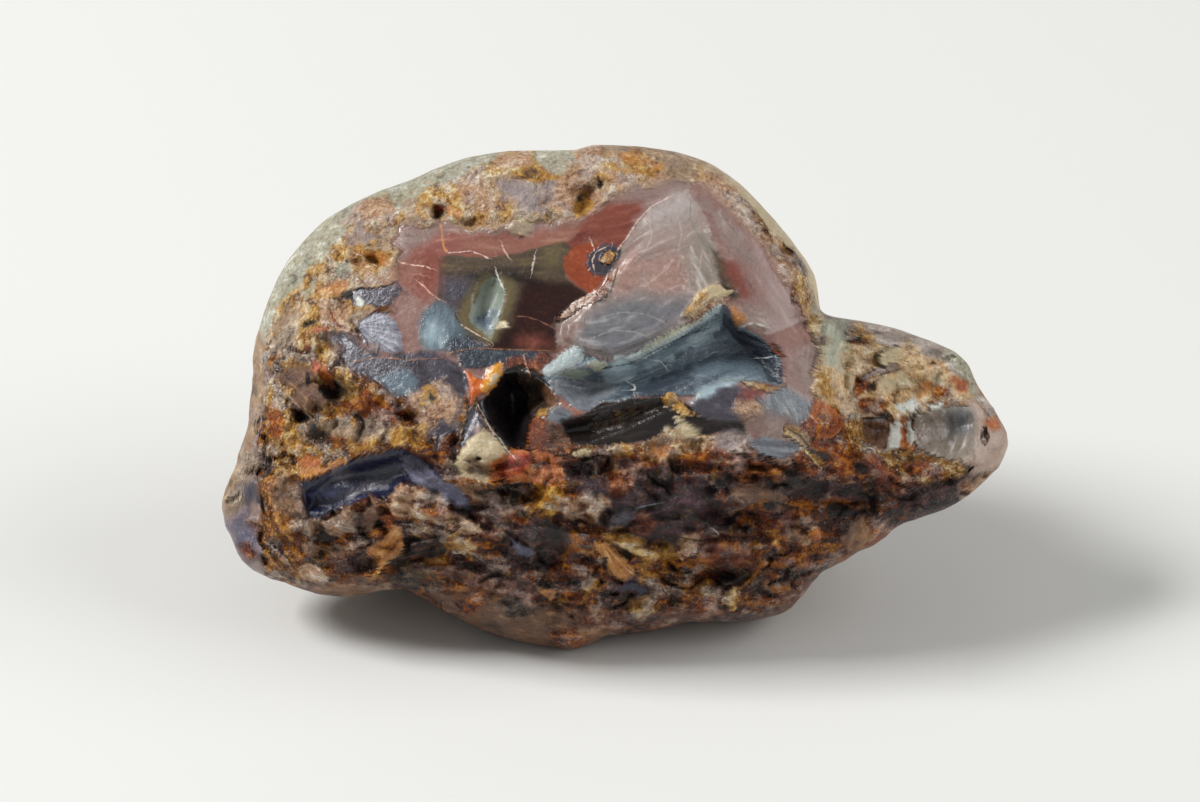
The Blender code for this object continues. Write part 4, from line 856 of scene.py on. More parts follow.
# Widths are in the same tenths of a millimetre as the picture coordinates.
SEAMS = (
    Seam("#E3CDB8", 1.8, "352,252 362,256 372,263 379,268"),
    Seam("#7A2412", 3.2, "330,310 333,318 338,325 344,328", -0.2),
    Seam("#E3C2B0", 1.8, "321,321 331,323 338,329 348,331 357,335"),
    Seam("#15100F", 2.6, "352,322 358,330 364,338 368,344", -0.4),
    Seam("#B08A82", 1.5, "345,326 356,320 366,315 377,308"),
    Seam("#5A3226", 1.8, "358,277 364,283 370,289"),
    Seam("#E8C8AE", 2.0, "403,263 412,265 424,266 430,268"),
    Seam("#D8A890", 1.8, "418,282 424,286 430,293 440,300"),
    Seam("#C98A52", 3.6, "441,226 442,236 443,245 447,252"),
    Seam("#E0C4B8", 1.8, "447,253 460,252 470,251 480,254 488,258"),
    Seam("#D8B8AA", 2.0, "502,245 505,252 508,256"),
    Seam("#CFC6BC", 2.2, "535,257 533,264 532,271"),
    Seam("#D8D8CC", 2.4, "496,271 498,277 502,286"),
    Seam("#8A5A4C", 1.6, "518,316 528,317 540,321 552,327 564,334"),
    Seam("#93603F", 1.6, "352,362 380,357 410,360 440,358 456,351 474,348 500,349 530,350 556,351"),
    Seam("#101010", 1.6, "456,316 459,322 464,328"),
    Seam("#D6C0AC", 1.8, "460,324 468,329 480,336 490,341"),
    Seam("#D8C0B0", 1.8, "594,269 592,260 596,252 605,247"),
    Seam("#E4D4C4", 1.6, "592,244 594,248 597,250"),
    Seam("#C9A08C", 3.4, "524,358 526,365 529,373", 0.2),
    # Painted highlight along an edge.
    Seam("#E8E2D4", 1.6, "476,402 484,416 491,430 501,440 506,449 514,457"),
    Seam("#C2A060", 2.6, "475,402 467,412 464,424 460,436"),
    Seam("#150D08", 1.6, "385,414 400,414 411,416", -0.3),
    Seam("#B05A1E", 3.4, "384,411 398,411 414,417"),
    Seam("#A04A22", 2.8, "552,395 560,400 569,405 578,413"),
    Seam("#9AA8A8", 1.4, "541,380 548,386 556,395"),
    Seam("#A58E88", 1.8, "552,376 564,370 578,366 592,367 600,372"),
    Seam("#7E7F74", 3.0, "691,202 690,215 694,228 702,240 709,250"),
    Seam("#B8A49C", 2.0, "634,262 646,250 652,236 650,222"),
    Seam("#B8A49C", 2.0, "650,282 666,270 678,252 682,232 676,212"),
    Seam("#B09C96", 2.0, "668,290 686,282 700,268 702,250"),
    Seam("#8A7670", 1.6, "640,276 660,268 676,254 690,246"),
    Seam("#94918F", 2.0, "600,318 622,312 646,314 664,322"),
    Seam("#94918F", 2.0, "592,338 612,330 636,332 650,338"),
    Seam("#D6BEB4", 2.2, "618,249 628,236 638,220 652,206 668,198"),
    Seam("#2A3036", 2.4, "604,368 630,364 652,352 676,340 700,330", -0.25),
    Seam("#97A19C", 2.6, "694,398 708,388 724,380 744,378"),
    Seam("#2A1612", 2.2, "281,396 292,404 302,413", -0.3),
    # Painted highlight: a glassy gleam beside the dark crest line.
    Seam("#CDBCBA", 1.8, "281,391 291,398 300,408 312,419"),
    Seam("#A69AA6", 4.5, "266,352 267,375 264,400 260,428 255,452"),
    Seam("#B89C84", 4.0, "266,543 280,555 292,568"),
    Seam("#2E1C12", 1.8, "262,545 272,556 286,567", -0.3),
    Seam("#3A241A", 2.0, "255,468 259,482 261,500 266,512", -0.3),
    Seam("#2A1810", 2.4, "272,508 272,519", -0.3),
    Seam("#A58E84", 4.0, "404,548 415,543 428,541 440,540", 0.3),
    Seam("#D8CFA0", 3.0, "806,452 812,458 817,464", 0.3),
    Seam("#1E0E06", 2.2, "788,429 799,435 808,445", -0.4),
    Seam("#D8B8A4", 2.0, "811,416 817,423 828,423"),
    Seam("#6A3A2C", 2.0, "860,381 880,375 900,369", -0.3),
    Seam("#4A2C18", 2.0, "942,484 955,474 970,468", -0.3),
    Seam("#CDB4A6", 2.6, "924,425 922,432 918,438"),
    Seam("#5C3A2A", 1.8, "640,566 660,574 690,578 716,588", -0.25),
    Seam("#C8B49C", 1.8, "628,570 640,578 654,584"),
    Seam("#2A1C16", 2.2, "566,530 600,532 640,530 700,541 745,536", -0.4),
    Seam("#2A1A14", 2.0, "740,478 780,476 800,470", -0.3),
    Seam("#8A949A", 1.8, "636,508 650,505 660,503"),
    Seam("#D0C8BC", 1.6, "712,528 717,532"),
    # Painted glints: short white strokes in the slate pocket.
    Seam("#DDE2DC", 2.0, "656,361 660,361 665,366"),
    Seam("#DDE2DC", 2.0, "753,358 765,358 776,356"),
    Seam("#D6DAD4", 1.8, "628,382 634,385 636,390 630,390"),
    Seam("#C8CCC8", 1.8, "706,357 712,354"),
    Seam("#1B1A1C", 2.4, "738,332 752,338 766,344", -0.3),
    Seam("#B9BDB2", 3.0, "741,327 752,323 764,326", 0.2),
)

# Where the rim shows the rind, and its tones there: u, v and the mineral.
RIND_TONES = (
    (-24, 17, CHALK), (-8, 22, CHALK), (8, 22, CREAM), (19, 14, CREAM), (28, 6, RIM_LILAC),
    (38, -2, PINK_TIP), (30, -9, RIND_BROWN), (14, -18, RIND_BROWN), (-2, -22, RIND_BROWN),
    (-20, -17, RIND_BROWN), (-34, -14, LILAC_GREY), (-34, 0, TAN_RIND), (-8, 4, TAN_RIND),
    (10, 2, GREEN_CHALK), (-27, -19, RIND_BROWN), (-12, -22, RIND_BROWN), (8, -21, RIND_BROWN),
)


def linear(hex_colour: str) -> tuple[float, float, float]:
    """The linear red, green and blue of an sRGB hex colour, which shaders work in."""
    channels = [int(hex_colour[i : i + 2], 16) / 255.0 for i in (1, 3, 5)]
    return tuple(c / 12.92 if c <= 0.04045 else ((c + 0.055) / 1.055) ** 2.4 for c in channels)


def rgba(hex_colour: str) -> tuple[float, float, float, float]:
    """The linear values of an sRGB hex colour, with full alpha."""
    return (*linear(hex_colour), 1.0)


def corners(text: str) -> Points:
    """Reads the points of an outline or a seam, written as "x,y x,y"."""
    pairs = [pair.split(",") for pair in text.split()]
    return [(float(x), float(y)) for x, y in pairs]


def on_face(points: Points) -> np.ndarray:
    """Turns picture coordinates into millimetres right of and above the face's middle."""
    place = np.array(points, float)
    return (place - FACE_MIDDLE) * (1.0, -1.0) / PIXELS_PER_MM


def smooth_step(low: float, high: float, value: np.ndarray) -> np.ndarray:
    """A smooth ramp over the values, from 0 below low to 1 above high."""
    share = np.clip((value - low) / (high - low), 0.0, 1.0)
    return share * share * (3.0 - 2.0 * share)


def inside_distance(places: np.ndarray, outline: Points) -> np.ndarray:
    """Distance to a closed outline.

    Args:
        places: where it is wanted.
        outline: the corners of the outline, in the same units.

    Returns:
        The distances, positive inside the outline.
    """
    start = np.array(outline, float)
    step = np.roll(start, -1, axis=0) - start
    offset = places[:, None, :] - start[None]
    along = np.clip((offset * step).sum(2) / (step**2).sum(1), 0.0, 1.0)
    gap = np.linalg.norm(offset - along[..., None] * step, axis=2).min(1)
    spans = (start[:, 1] > places[:, None, 1]) != ((start + step)[:, 1] > places[:, None, 1])
    rise = np.where(step[:, 1] == 0, 1.0, step[:, 1])
    crossing = offset[..., 1] / rise * step[:, 0] > offset[..., 0]
    inside = (spans & crossing).sum(1) % 2 == 1
    return np.where(inside, gap, -gap)


def side_distance(places: np.ndarray, line: np.ndarray) -> np.ndarray:
    """Distance to an open line, positive on its left and negative on its right.

    Args:
        places: where it is wanted.
        line: the points of the line, in the same units.

    Returns:
        The signed distances.
    """
    start, step = line[:-1], np.diff(line, axis=0)
    offset = places[:, None, :] - start[None]
    along = np.clip((offset * step).sum(2) / (step**2).sum(1), 0.0, 1.0)
    away = offset - along[..., None] * step
    gap = np.linalg.norm(away, axis=2)
    nearest = gap.argmin(1)
    row = np.arange(len(places))
    side = step[nearest, 0] * away[row, nearest, 1] - step[nearest, 1] * away[row, nearest, 0]
    return np.where(side >= 0, 1.0, -1.0) * gap[row, nearest]


def nearness(places: np.ndarray, spots: np.ndarray, reach: float) -> np.ndarray:
    """One row for each place: 1 for a spot that it is on, falling to 0 over the reach."""
    gap = places[:, None, :] - spots[None]
    return np.exp(-(gap**2).sum(2) / (2.0 * reach**2))


def noise_at(places: np.ndarray, size: float, seed: float) -> np.ndarray:
    """Smooth noise from -1 to 1, with features of the given size in millimetres."""
    shift = Vector((seed, 2.0 * seed, -seed))
    return np.array([noise.noise(Vector(p) / size + shift) for p in places.tolist()])


def ridges_at(places: np.ndarray, size: float, seed: float) -> np.ndarray:
    """Craggy noise with sharp ridges and crevices between them.

    Args:
        places: where it is wanted, as three coordinates in millimetres.
        size: how large its main features are, in millimetres.
        seed: picks one of many such fields.

    Returns:
        Values from about -1 to 1.
    """
    shift = Vector((seed, -2.0 * seed, seed))
    spots = [Vector(p) / size + shift for p in places.tolist()]
    found = [noise.ridged_multi_fractal(spot, 0.8, 2.1, 4, 1.0, 2.0) for spot in spots]
    return np.clip(np.array(found) - 1.15, -1.0, 1.0)


def pits_at(places: np.ndarray, size: float, seed: float) -> np.ndarray:
    """Scattered round pits.

    Args:
        places: where they are wanted, as three coordinates in millimetres.
        size: how far apart they are, in millimetres.
        seed: picks one of many such fields.

    Returns:
        1 in the middle of a pit, falling to 0 between them.
    """
    shift = Vector((seed, -seed, seed))
    nearest = [noise.voronoi(Vector(p) / size + shift)[0][0] for p in places.tolist()]
    return 1.0 - smooth_step(0.12, 0.42, np.array(nearest))


@dataclass(frozen=True)
class Relief:
    """One kind of bumps.

    Attributes:
        kind: the noise that they follow.
        height: in millimetres; negative is cut in.
        size: of one bump, in millimetres.
        seed: picks one of many such fields.
        flatness: how many times wider than high a bump is.
    """

    kind: Callable[[np.ndarray, float, float], np.ndarray]
    height: float
    size: float
    seed: float
    flatness: float = 1.0

    def at(self, places: np.ndarray) -> np.ndarray:
        """Its height at each place, in millimetres."""
        return self.height * self.kind(places * (1.0, self.flatness, 1.0), self.size, self.seed)


# The crust's larger relief, which the CAD solid has too.
LUMPS = Relief(noise_at, height=0.75, size=4.2, seed=3.0)
VUGS = Relief(pits_at, height=-1.1, size=5.2, seed=7.0)
LEDGES = Relief(noise_at, height=0.9, size=9.0, seed=11.0, flatness=3.5)

# Its finer relief. Grooves wind through the open parts only.
CRAGS = Relief(ridges_at, height=0.80, size=3.6, seed=21.0, flatness=1.35)
PEBBLES = Relief(noise_at, height=0.45, size=1.3, seed=23.0)
OPEN_PARTS = Relief(noise_at, height=1.0, size=4.0, seed=25.0)
WINDINGS = Relief(noise_at, height=1.0, size=2.4, seed=27.0, flatness=1.3)
THIN_LEDGES = Relief(noise_at, height=0.70, size=3.6, seed=29.0, flatness=4.5)
SWIRLS = Relief(noise_at, height=0.08, size=2.6, seed=31.0)
GROOVE_DEPTH = 0.9

# The rounded side: its form, and the finer relief of the rind.
BACK_SWELLS = Relief(noise_at, height=2.0, size=15.0, seed=5.0)
BACK_LUMPS = Relief(noise_at, height=0.7, size=5.5, seed=9.0)
RIND_BUMPS = Relief(noise_at, height=0.16, size=1.6, seed=33.0)
RIND_PORES = Relief(pits_at, height=-0.35, size=3.4, seed=37.0)

# How the rim is worn, and how the zones' edges drift and wander.
RIM_SWELLS = Relief(noise_at, height=1.0, size=3.0, seed=53.0)
RIM_CRUMBS = Relief(noise_at, height=0.6, size=1.2, seed=55.0)
DRIFT_ACROSS = Relief(noise_at, height=0.22, size=2.4, seed=41.0)
DRIFT_UP = Relief(noise_at, height=0.22, size=2.4, seed=43.0)
WIDE_WANDER = Relief(noise_at, height=1.6, size=1.7, seed=47.0)
FINE_WANDER = Relief(noise_at, height=0.9, size=0.7, seed=49.0)


@dataclass
class StoneForm:
    """The form of the CAD solid with finer relief, as a function of direction.

    Attributes:
        lean: how far the face leans back from upright, in degrees.
        middle_height: height of the middle of the face above the ground, in millimetres.
        taper: how much the stone narrows towards the viewer, for each millimetre.
        rim_squareness: how late the broken side turns down at its rim.
        back_squareness: the same for the rounded side.
        ripple_gap: distance between two ripples of a shell-like break, in millimetres. The real
            ones, about 0.8 mm apart, are too fine for the mesh, so they are drawn coarser.
        rib_count: how many ribs a fan would have all the way round.
        swell_reach, back_reach: how far one given height reaches, in millimetres.
        outline_easing: how far round the outline is smoothed behind the rim, in degrees.
        step_easing: how fast the outline's steps fade behind the rim.
        least_power, most_power: the slowest and the fastest that a step may fade.
        corner_easing: how far round the outline its corners are rounded, in degrees.
        wall_foot: how far outside its outline the step of a zone starts, in millimetres.
        seam_core, seam_flank: distance from a seam where its groove or ridge starts to fade and
            is gone, in millimetres.
        rim_bumps: how strong the rim's swells and crumbs are.
    """

    lean: float = 30.0
    middle_height: float = 21.6
    taper: float = 0.002
    rim_squareness: float = 7.0
    back_squareness: float = 2.6
    ripple_gap: float = 2.1
    rib_count: float = 22.0
    swell_reach: float = 5.0
    back_reach: float = 9.0
    outline_easing: float = 14.0
    step_easing: float = 0.7
    least_power: float = 4.0
    most_power: float = 120.0
    corner_easing: float = 1.6
    rim_bumps: float = 0.28
    wall_foot: float = 0.2
    seam_core: float = 0.1
    seam_flank: float = 0.45

    def sharp_reach(self, angle: np.ndarray) -> np.ndarray:
        """Distance from the middle of the face to the outline.

        Args:
            angle: directions round the face, in radians.

        Returns:
            The distances in millimetres.
        """
        corner = np.array(OUTLINE)
        bearing = np.arctan2(corner[:, 1], corner[:, 0])
        order = np.argsort(bearing)
        reach = np.hypot(*corner.T)[order]
        return np.interp(angle, bearing[order], reach, period=2.0 * math.pi)

    def eased_reach(self, angle: np.ndarray, easing: float, count: int) -> np.ndarray:
        """Distance to the outline, evened out over some degrees to each side."""
        turns = np.radians(np.linspace(-easing, easing, count))
        return np.mean([self.sharp_reach(angle + turn) for turn in turns], axis=0)

    def weathered_rim(self, angle: np.ndarray, share: np.ndarray) -> np.ndarray:
        """Rounds the outline's corners and gives its edge small bumps.

        Args:
            angle: directions round the face, in radians.
            share: 0 at the middle and 1 at the rim.

        Returns:
            How far it moves the surface away from the middle, in millimetres.
        """
        sharp = self.sharp_reach(angle)
        eased = self.eased_reach(angle, self.corner_easing, 5)
        spots = np.column_stack([sharp * np.cos(angle), sharp * np.sin(angle), np.zeros(len(angle))])
        bumps = self.rim_bumps * (RIM_SWELLS.at(spots) + RIM_CRUMBS.at(spots))
        upper_rim = smooth_step(0.0, 12.0, spots[:, 1])
        bumps *= 1.0 - 0.75 * upper_rim
        return (eased - sharp + bumps) * share**6

    def reach(self, angle: np.ndarray, share: np.ndarray, front: np.ndarray) -> np.ndarray:
        """Distance of surface points from the middle, eased behind the rim.

        Args:
            angle: directions round the face, in radians.
            share: 0 at the middle and 1 at the rim.
            front: which points are on the broken side.

        Returns:
            The distances in millimetres.
        """
        sharp = self.sharp_reach(angle)
        eased = self.eased_reach(angle, self.outline_easing, 9)
        step = sharp - eased
        power = self.step_easing * eased / np.maximum(np.abs(step), 0.01) - 1.0
        behind = eased + step * share ** np.clip(power, self.least_power, self.most_power)
        return np.where(front, sharp, behind) * share

    def blended(self, places: np.ndarray, table: Sequence[Any], reach: float) -> np.ndarray:
        """Values given at a few places, blended smoothly between them.

        Args:
            places: where they are wanted.
            table: rows of u, v and the value.
            reach: how far each row reaches, in millimetres.

        Returns:
            The blended values.
        """
        rows = np.array(table, float)
        weight = nearness(places, rows[:, :2], reach) + 1e-12
        return (weight @ rows[:, 2]) / weight.sum(1)

    def carved(self, plane: np.ndarray) -> np.ndarray:
        """Ledges, hollows and vugs of the CAD solid and of the zones.

        Args:
            plane: places on the face.

        Returns:
            How far they move the surface out, in millimetres.
        """
        total = np.zeros(len(plane))
        for cut in CARVINGS.values():
            amount = cut.rise * smooth_step(0.0, cut.wall, inside_distance(plane, cut.outline))
            if cut.full_at:
                run = np.subtract(cut.gone_at, cut.full_at)
                along = (plane - np.array(cut.full_at)) @ run / (run @ run)
                amount *= 1.0 - smooth_step(0.0, 1.0, along)
            total += amount
        for patch in PATCHES:
            if patch.rise:
                near, depth = near_patch(plane, patch, 1.0)
                foot = self.wall_foot
                total[near] += patch.rise * smooth_step(-foot, patch.wall - foot, depth)
        for seam in SEAMS:
            if seam.rise:
                side = side_distance(plane, on_face(corners(seam.points)))
                flank = smooth_step(self.seam_core, self.seam_flank, np.abs(side))
                total += seam.rise * (1.0 - flank)
        return total

    def low_face(self, plane: np.ndarray) -> np.ndarray:
        """Picks the lower face, whose crust lies in layers: 1 on it and 0 above it."""
        return 1.0 - smooth_step(-7.0, -4.0, plane[:, 1])

    def crust(self, plane: np.ndarray, crumbly: float | np.ndarray = 1.0) -> np.ndarray:
        """Lumps, pits and flat-lying ledges of the crust round the smooth agate.

        Args:
            plane: places on the face.
            crumbly: 1 where the mineral breaks rough and 0 where it breaks smooth.

        Returns:
            Their height in millimetres.
        """
        flat = np.column_stack([plane, np.zeros(len(plane))])
        rough = 1.0 - smooth_step(-1.0, 0.5, inside_distance(plane, HEART))
        vugs = VUGS.at(flat) * crumbly
        ledges = LEDGES.at(flat) * self.low_face(plane)
        return rough * (LUMPS.at(flat) + vugs + ledges)

    def fine_crust(self, plane: np.ndarray, crumbly: np.ndarray) -> np.ndarray:
        """Crags, grooves and thin ledges that are too fine for the CAD solid.

        Args:
            plane: places on the face.
            crumbly: 1 where the mineral breaks rough and 0 where it breaks smooth.

        Returns:
            Their height in millimetres.
        """
        flat = np.column_stack([plane, np.zeros(len(plane))])
        rough = 1.0 - smooth_step(-0.8, 0.6, inside_distance(plane, HEART))
        upper_rim = smooth_step(10.0, 15.0, plane[:, 1] - 0.25 * plane[:, 0])
        rough *= 1.0 - 0.6 * upper_rim
        open_parts = smooth_step(0.0, 0.35, OPEN_PARTS.at(flat))
        winding = 1.0 - smooth_step(0.02, 0.16, np.abs(WINDINGS.at(flat)))
        grooves = -GROOVE_DEPTH * winding * open_parts
        ledges = THIN_LEDGES.at(flat) * self.low_face(plane)
        bumps = CRAGS.at(flat) + PEBBLES.at(flat) + grooves + ledges
        return rough * crumbly * bumps + SWIRLS.at(flat)

    def rippled(self, plane: np.ndarray) -> np.ndarray:
        """Ripples and ribs of the shell-like breaks.

        Args:
            plane: places on the face.

        Returns:
            Their height in millimetres.
        """
        total = np.zeros(len(plane))
        for patch in PATCHES:
            if patch.ripple:
                near, depth = near_patch(plane, patch, 0.5)
                offset = plane[near] - patch.centre
                turned = np.arctan2(offset[:, 1], offset[:, 0])
                phase = turned * self.rib_count
                if patch.pattern is Pattern.RIPPLED:
                    phase = np.hypot(*offset.T) * 2.0 * math.pi / self.ripple_gap
                total[near] += patch.ripple * np.sin(phase) * smooth_step(0.0, 0.9, depth)
        return total

    def front_height(
        self, plane: np.ndarray, share: np.ndarray, crumbly: Optional[np.ndarray]
    ) -> np.ndarray:
        """Height of the broken side.

        Args:
            plane: places on the face.
            share: 0 at the middle of the face and 1 at the rim.
            crumbly: how rough each place breaks, or None for the CAD solid's own relief.

        Returns:
            Heights above the rim plane, in millimetres.
        """
        closing = (1.0 - share**self.rim_squareness) ** 0.4
        form = self.blended(plane, FRONT_HEIGHTS, self.swell_reach)
        height = form + self.carved(plane)
        if crumbly is None:
            return closing * (height + self.crust(plane))
        height += self.crust(plane, crumbly) + self.fine_crust(plane, crumbly)
        return closing * (height + self.rippled(plane))

    def back_depth(self, plane: np.ndarray, share: np.ndarray, fine: bool) -> np.ndarray:
        """Depth of the rounded side.

        Args:
            plane: places on the face.
            share: 0 at the middle of the face and 1 at the rim.
            fine: whether to add the relief that the CAD solid leaves out.

        Returns:
            Depths behind the rim plane, as negative heights in millimetres.
        """
        power = self.back_squareness
        closing = (1.0 - share**power) ** (1.0 / power)
        depth = self.blended(plane, BACK_DEPTHS, self.back_reach)
        body = np.column_stack([plane, -closing * depth])
        relief = BACK_SWELLS.at(body) + BACK_LUMPS.at(body)
        if fine:
            relief += RIND_BUMPS.at(body) + RIND_PORES.at(body)
        return -closing * (depth + relief)

    def places(
        self, directions: np.ndarray, crumbly: Optional[np.ndarray] = None
    ) -> tuple[np.ndarray, np.ndarray]:
        """Carries directions from the middle of the stone to its surface.

        Args:
            directions: unit vectors.
            crumbly: how rough each point breaks, or None for the CAD solid's own relief.

        Returns:
            The points' places on the face, and their heights.
        """
        angle = np.arctan2(directions[:, 1], directions[:, 0])
        share = np.minimum(np.hypot(directions[:, 0], directions[:, 1]), 1.0)
        front = directions[:, 2] > 0
        reach = self.reach(angle, share, front)
        if crumbly is not None:
            reach = reach + self.weathered_rim(angle, share)
        plane = np.column_stack([reach * np.cos(angle), reach * np.sin(angle)])
        height = np.zeros(len(directions))
        front_crumbly = None if crumbly is None else crumbly[front]
        height[front] = self.front_height(plane[front], share[front], front_crumbly)
        height[~front] = self.back_depth(plane[~front], share[~front], crumbly is not None)
        return plane, height

    def in_room(self, plane: np.ndarray, height: np.ndarray) -> np.ndarray:
        """Leans the face back and puts the stone on the ground.

        Args:
            plane: places on the face.
            height: heights above the rim plane.

        Returns:
            Upright places in metres.
        """
        lean = math.radians(self.lean)
        u, v = (plane * (1.0 - self.taper * height)[:, None]).T
        y = v * math.sin(lean) - height * math.cos(lean)
        z = self.middle_height + v * math.cos(lean) + height * math.sin(lean)
        return np.column_stack([u, y, z]) * MM


def near_patch(plane: np.ndarray, patch: Patch, margin: float) -> tuple[np.ndarray, np.ndarray]:
    """Finds the points on and about a zone.

    Args:
        plane: places on the face.
        patch: the zone.
        margin: how far round the zone to look, in millimetres.

    Returns:
        The indices of those points and their distances inside the zone.
    """
    outline = on_face(corners(patch.outline))
    low, high = outline.min(0) - margin, outline.max(0) + margin
    near = np.flatnonzero(((plane > low) & (plane < high)).all(1))
    return near, inside_distance(plane[near], outline)


@dataclass
class Layer:
    """Zones that keep clear of each other, stored together at the mesh's points.

    Attributes:
        size: how many points the mesh has.
        edge: distance inside the nearest zone, in millimetres.
        flow: coordinates across and along its tones, in millimetres.
        tones: its dark, mid and light colour, with raggedness, softness and pattern as alpha.
    """

    size: int
    edge: np.ndarray = field(init=False)
    flow: np.ndarray = field(init=False)
    tones: np.ndarray = field(init=False)

    def __post_init__(self) -> None:
        """Starts with nothing shown."""
        self.edge = np.full(self.size, -3.0)
        self.flow = np.zeros((self.size, 2))
        self.tones = np.zeros((3, self.size, 4))


@dataclass
class FaceMarkings:
    """Sorts the zones and seams of the broken face and stores them on the mesh.

    Attributes:
        plane: places of the mesh's points on the face.
        depth: how far each point is behind the rim, in millimetres.
        reach: how far round a zone its edge distances are stored, in millimetres.
        overlap: how deep two zones must overlap to need layers of their own, in millimetres.
        blurred: zones softer than this are blended into what lies below, in millimetres.
        most_layers: the most layers above the ground.
        shared_points: zones that share no more points than this may lie in one layer.
        streak_length: how many times longer than wide a streak is.
        band_crowding, band_length: how close bands lie, and how long their tones are.
        ring_crowding, rib_crowding: how fast tones change round a centre, for each radian.
        rim_depth: no zone shows further behind the rim than this, in millimetres.
        seam_reach: how far to each side of a seam its distance is stored, in millimetres.
        rind_reach: how far each tone of the rind reaches, in millimetres.
        layers: the layers, with the ground first.
        looks: roughness, grain and sugar of each point.
        wander: how far the edge of a soft zone wanders at each point, before its raggedness.
    """

    plane: np.ndarray
    depth: np.ndarray
    reach: float = 2.2
    overlap: float = 0.25
    blurred: float = 0.29
    most_layers: int = 9
    shared_points: int = 3
    streak_length: float = 7.0
    band_crowding: float = 1.6
    band_length: float = 9.0
    ring_crowding: float = 1.5
    rib_crowding: float = 9.0
    rim_depth: float = 4.0
    seam_reach: float = 0.95
    rind_reach: float = 11.0
    layers: list[Layer] = field(default_factory=list)
    looks: np.ndarray = field(init=False)
    wander: np.ndarray = field(init=False)

    def __post_init__(self) -> None:
        """Sorts the zones."""
        size = len(self.plane)
        crust = BROWN_CRUST
        self.looks = np.tile(crust.looks, (size, 1))
        ground = Layer(size)
        ground.edge[:] = 3.0
        ground.flow[:] = self.plane
        ground.tones[:] = self.palette(crust, (0.0, 0.0, 0.15))[:, None]
        self.layers.append(ground)
        flat = np.column_stack([self.plane, np.zeros(size)])
        plane = self.plane + np.column_stack([DRIFT_ACROSS.at(flat), DRIFT_UP.at(flat)])
        plane[self.depth > self.rim_depth] = FAR_AWAY
        self.wander = WIDE_WANDER.at(flat) + FINE_WANDER.at(flat)
        self.sort(plane)

    def palette(self, finish: Finish, extras: Sequence[float]) -> np.ndarray:
        """The three colours of a mineral, as rows with the extras for their alphas."""
        colours = (finish.dark, finish.mid, finish.light)
        return np.array([(*linear(colour), extra) for colour, extra in zip(colours, extras)])

    def flow_of(self, patch: Patch, plane: np.ndarray, edge: np.ndarray) -> np.ndarray:
        """Coordinates across and along a zone's tones.

        Args:
            patch: the zone.
            plane: places on the face.
            edge: distances inside the zone.

        Returns:
            Two columns, in millimetres.
        """
        if patch.pattern is Pattern.STREAKED:
            turn = math.radians(patch.lie[0])
            along = plane @ (math.cos(turn), math.sin(turn))
            across = plane @ (-math.sin(turn), math.cos(turn))
            return np.column_stack([across, along / self.streak_length])
        if patch.pattern is Pattern.BANDED:
            return np.column_stack([edge * self.band_crowding, plane[:, 0] / self.band_length])
        if patch.pattern in (Pattern.RIPPLED, Pattern.FANNED):
            offset = plane - patch.centre
            radius = np.hypot(*offset.T)
            turned = np.arctan2(offset[:, 1], offset[:, 0])
            if patch.pattern is Pattern.RIPPLED:
                return np.column_stack([radius, turned * self.ring_crowding])
            return np.column_stack([turned * self.rib_crowding, radius / self.streak_length])
        return plane

    def sort(self, plane: np.ndarray) -> None:
        """Puts each crisp zone in the lowest layer above those that it covers.

        Args:
            plane: places on the face, already wandering a little.
        """
        placed: list[tuple[set[int], int]] = []
        for patch in PATCHES:
            near, edge = near_patch(plane, patch, self.reach)
            if patch.soft > self.blurred:
                self.blend(patch, plane, near, edge)
                continue
            core = set(near[edge > self.overlap].tolist())
            below = [level for others, level in placed if len(core & others) > self.shared_points]
            level = min(max(below, default=0) + 1, self.most_layers)
            placed.append((core, level))
            while len(self.layers) <= level:
                self.layers.append(Layer(len(plane)))
            layer = self.layers[level]
            ours = (edge > -self.reach) & ((edge > 0.0) | (edge > layer.edge[near]))
            near, edge = near[ours], edge[ours]
            layer.edge[near] = np.maximum(edge, layer.edge[near])
            layer.flow[near] = self.flow_of(patch, plane[near], edge)
            extras = (patch.ragged, patch.soft, patch.woven)
            layer.tones[:, near] = self.palette(patch.finish, extras)[:, None]
            self.looks[near[edge > 0.0]] = patch.finish.looks
        log.info("%d zones in %d layers", len(PATCHES), len(self.layers))

    def blend(self, patch: Patch, plane: np.ndarray, near: np.ndarray, edge: np.ndarray) -> None:
        """Blends a zone with soft edges into what is there.

        Args:
            patch: the zone.
            plane: places on the face.
            near: the points on and about the zone.
            edge: their distances inside it.
        """
        edge = edge + patch.ragged * self.wander[near]
        share = smooth_step(-patch.soft, patch.soft, edge)
        near, edge, share = near[share > 0.0], edge[share > 0.0], share[share > 0.0]
        flow = self.flow_of(patch, plane[near], edge)
        ours = share > 0.5
        self.looks[near] += share[:, None] * (np.array(patch.finish.looks) - self.looks[near])
        tones = self.palette(patch.finish, (0.0, 0.0, 0.0))[:, :3]
        for layer in self.layers:
            old = layer.tones[:, near, :3]
            layer.tones[:, near, :3] = old + share[:, None] * (tones[:, None] - old)
            layer.flow[near[ours]] = flow[ours]
            layer.tones[2, near[ours], 3] = patch.woven

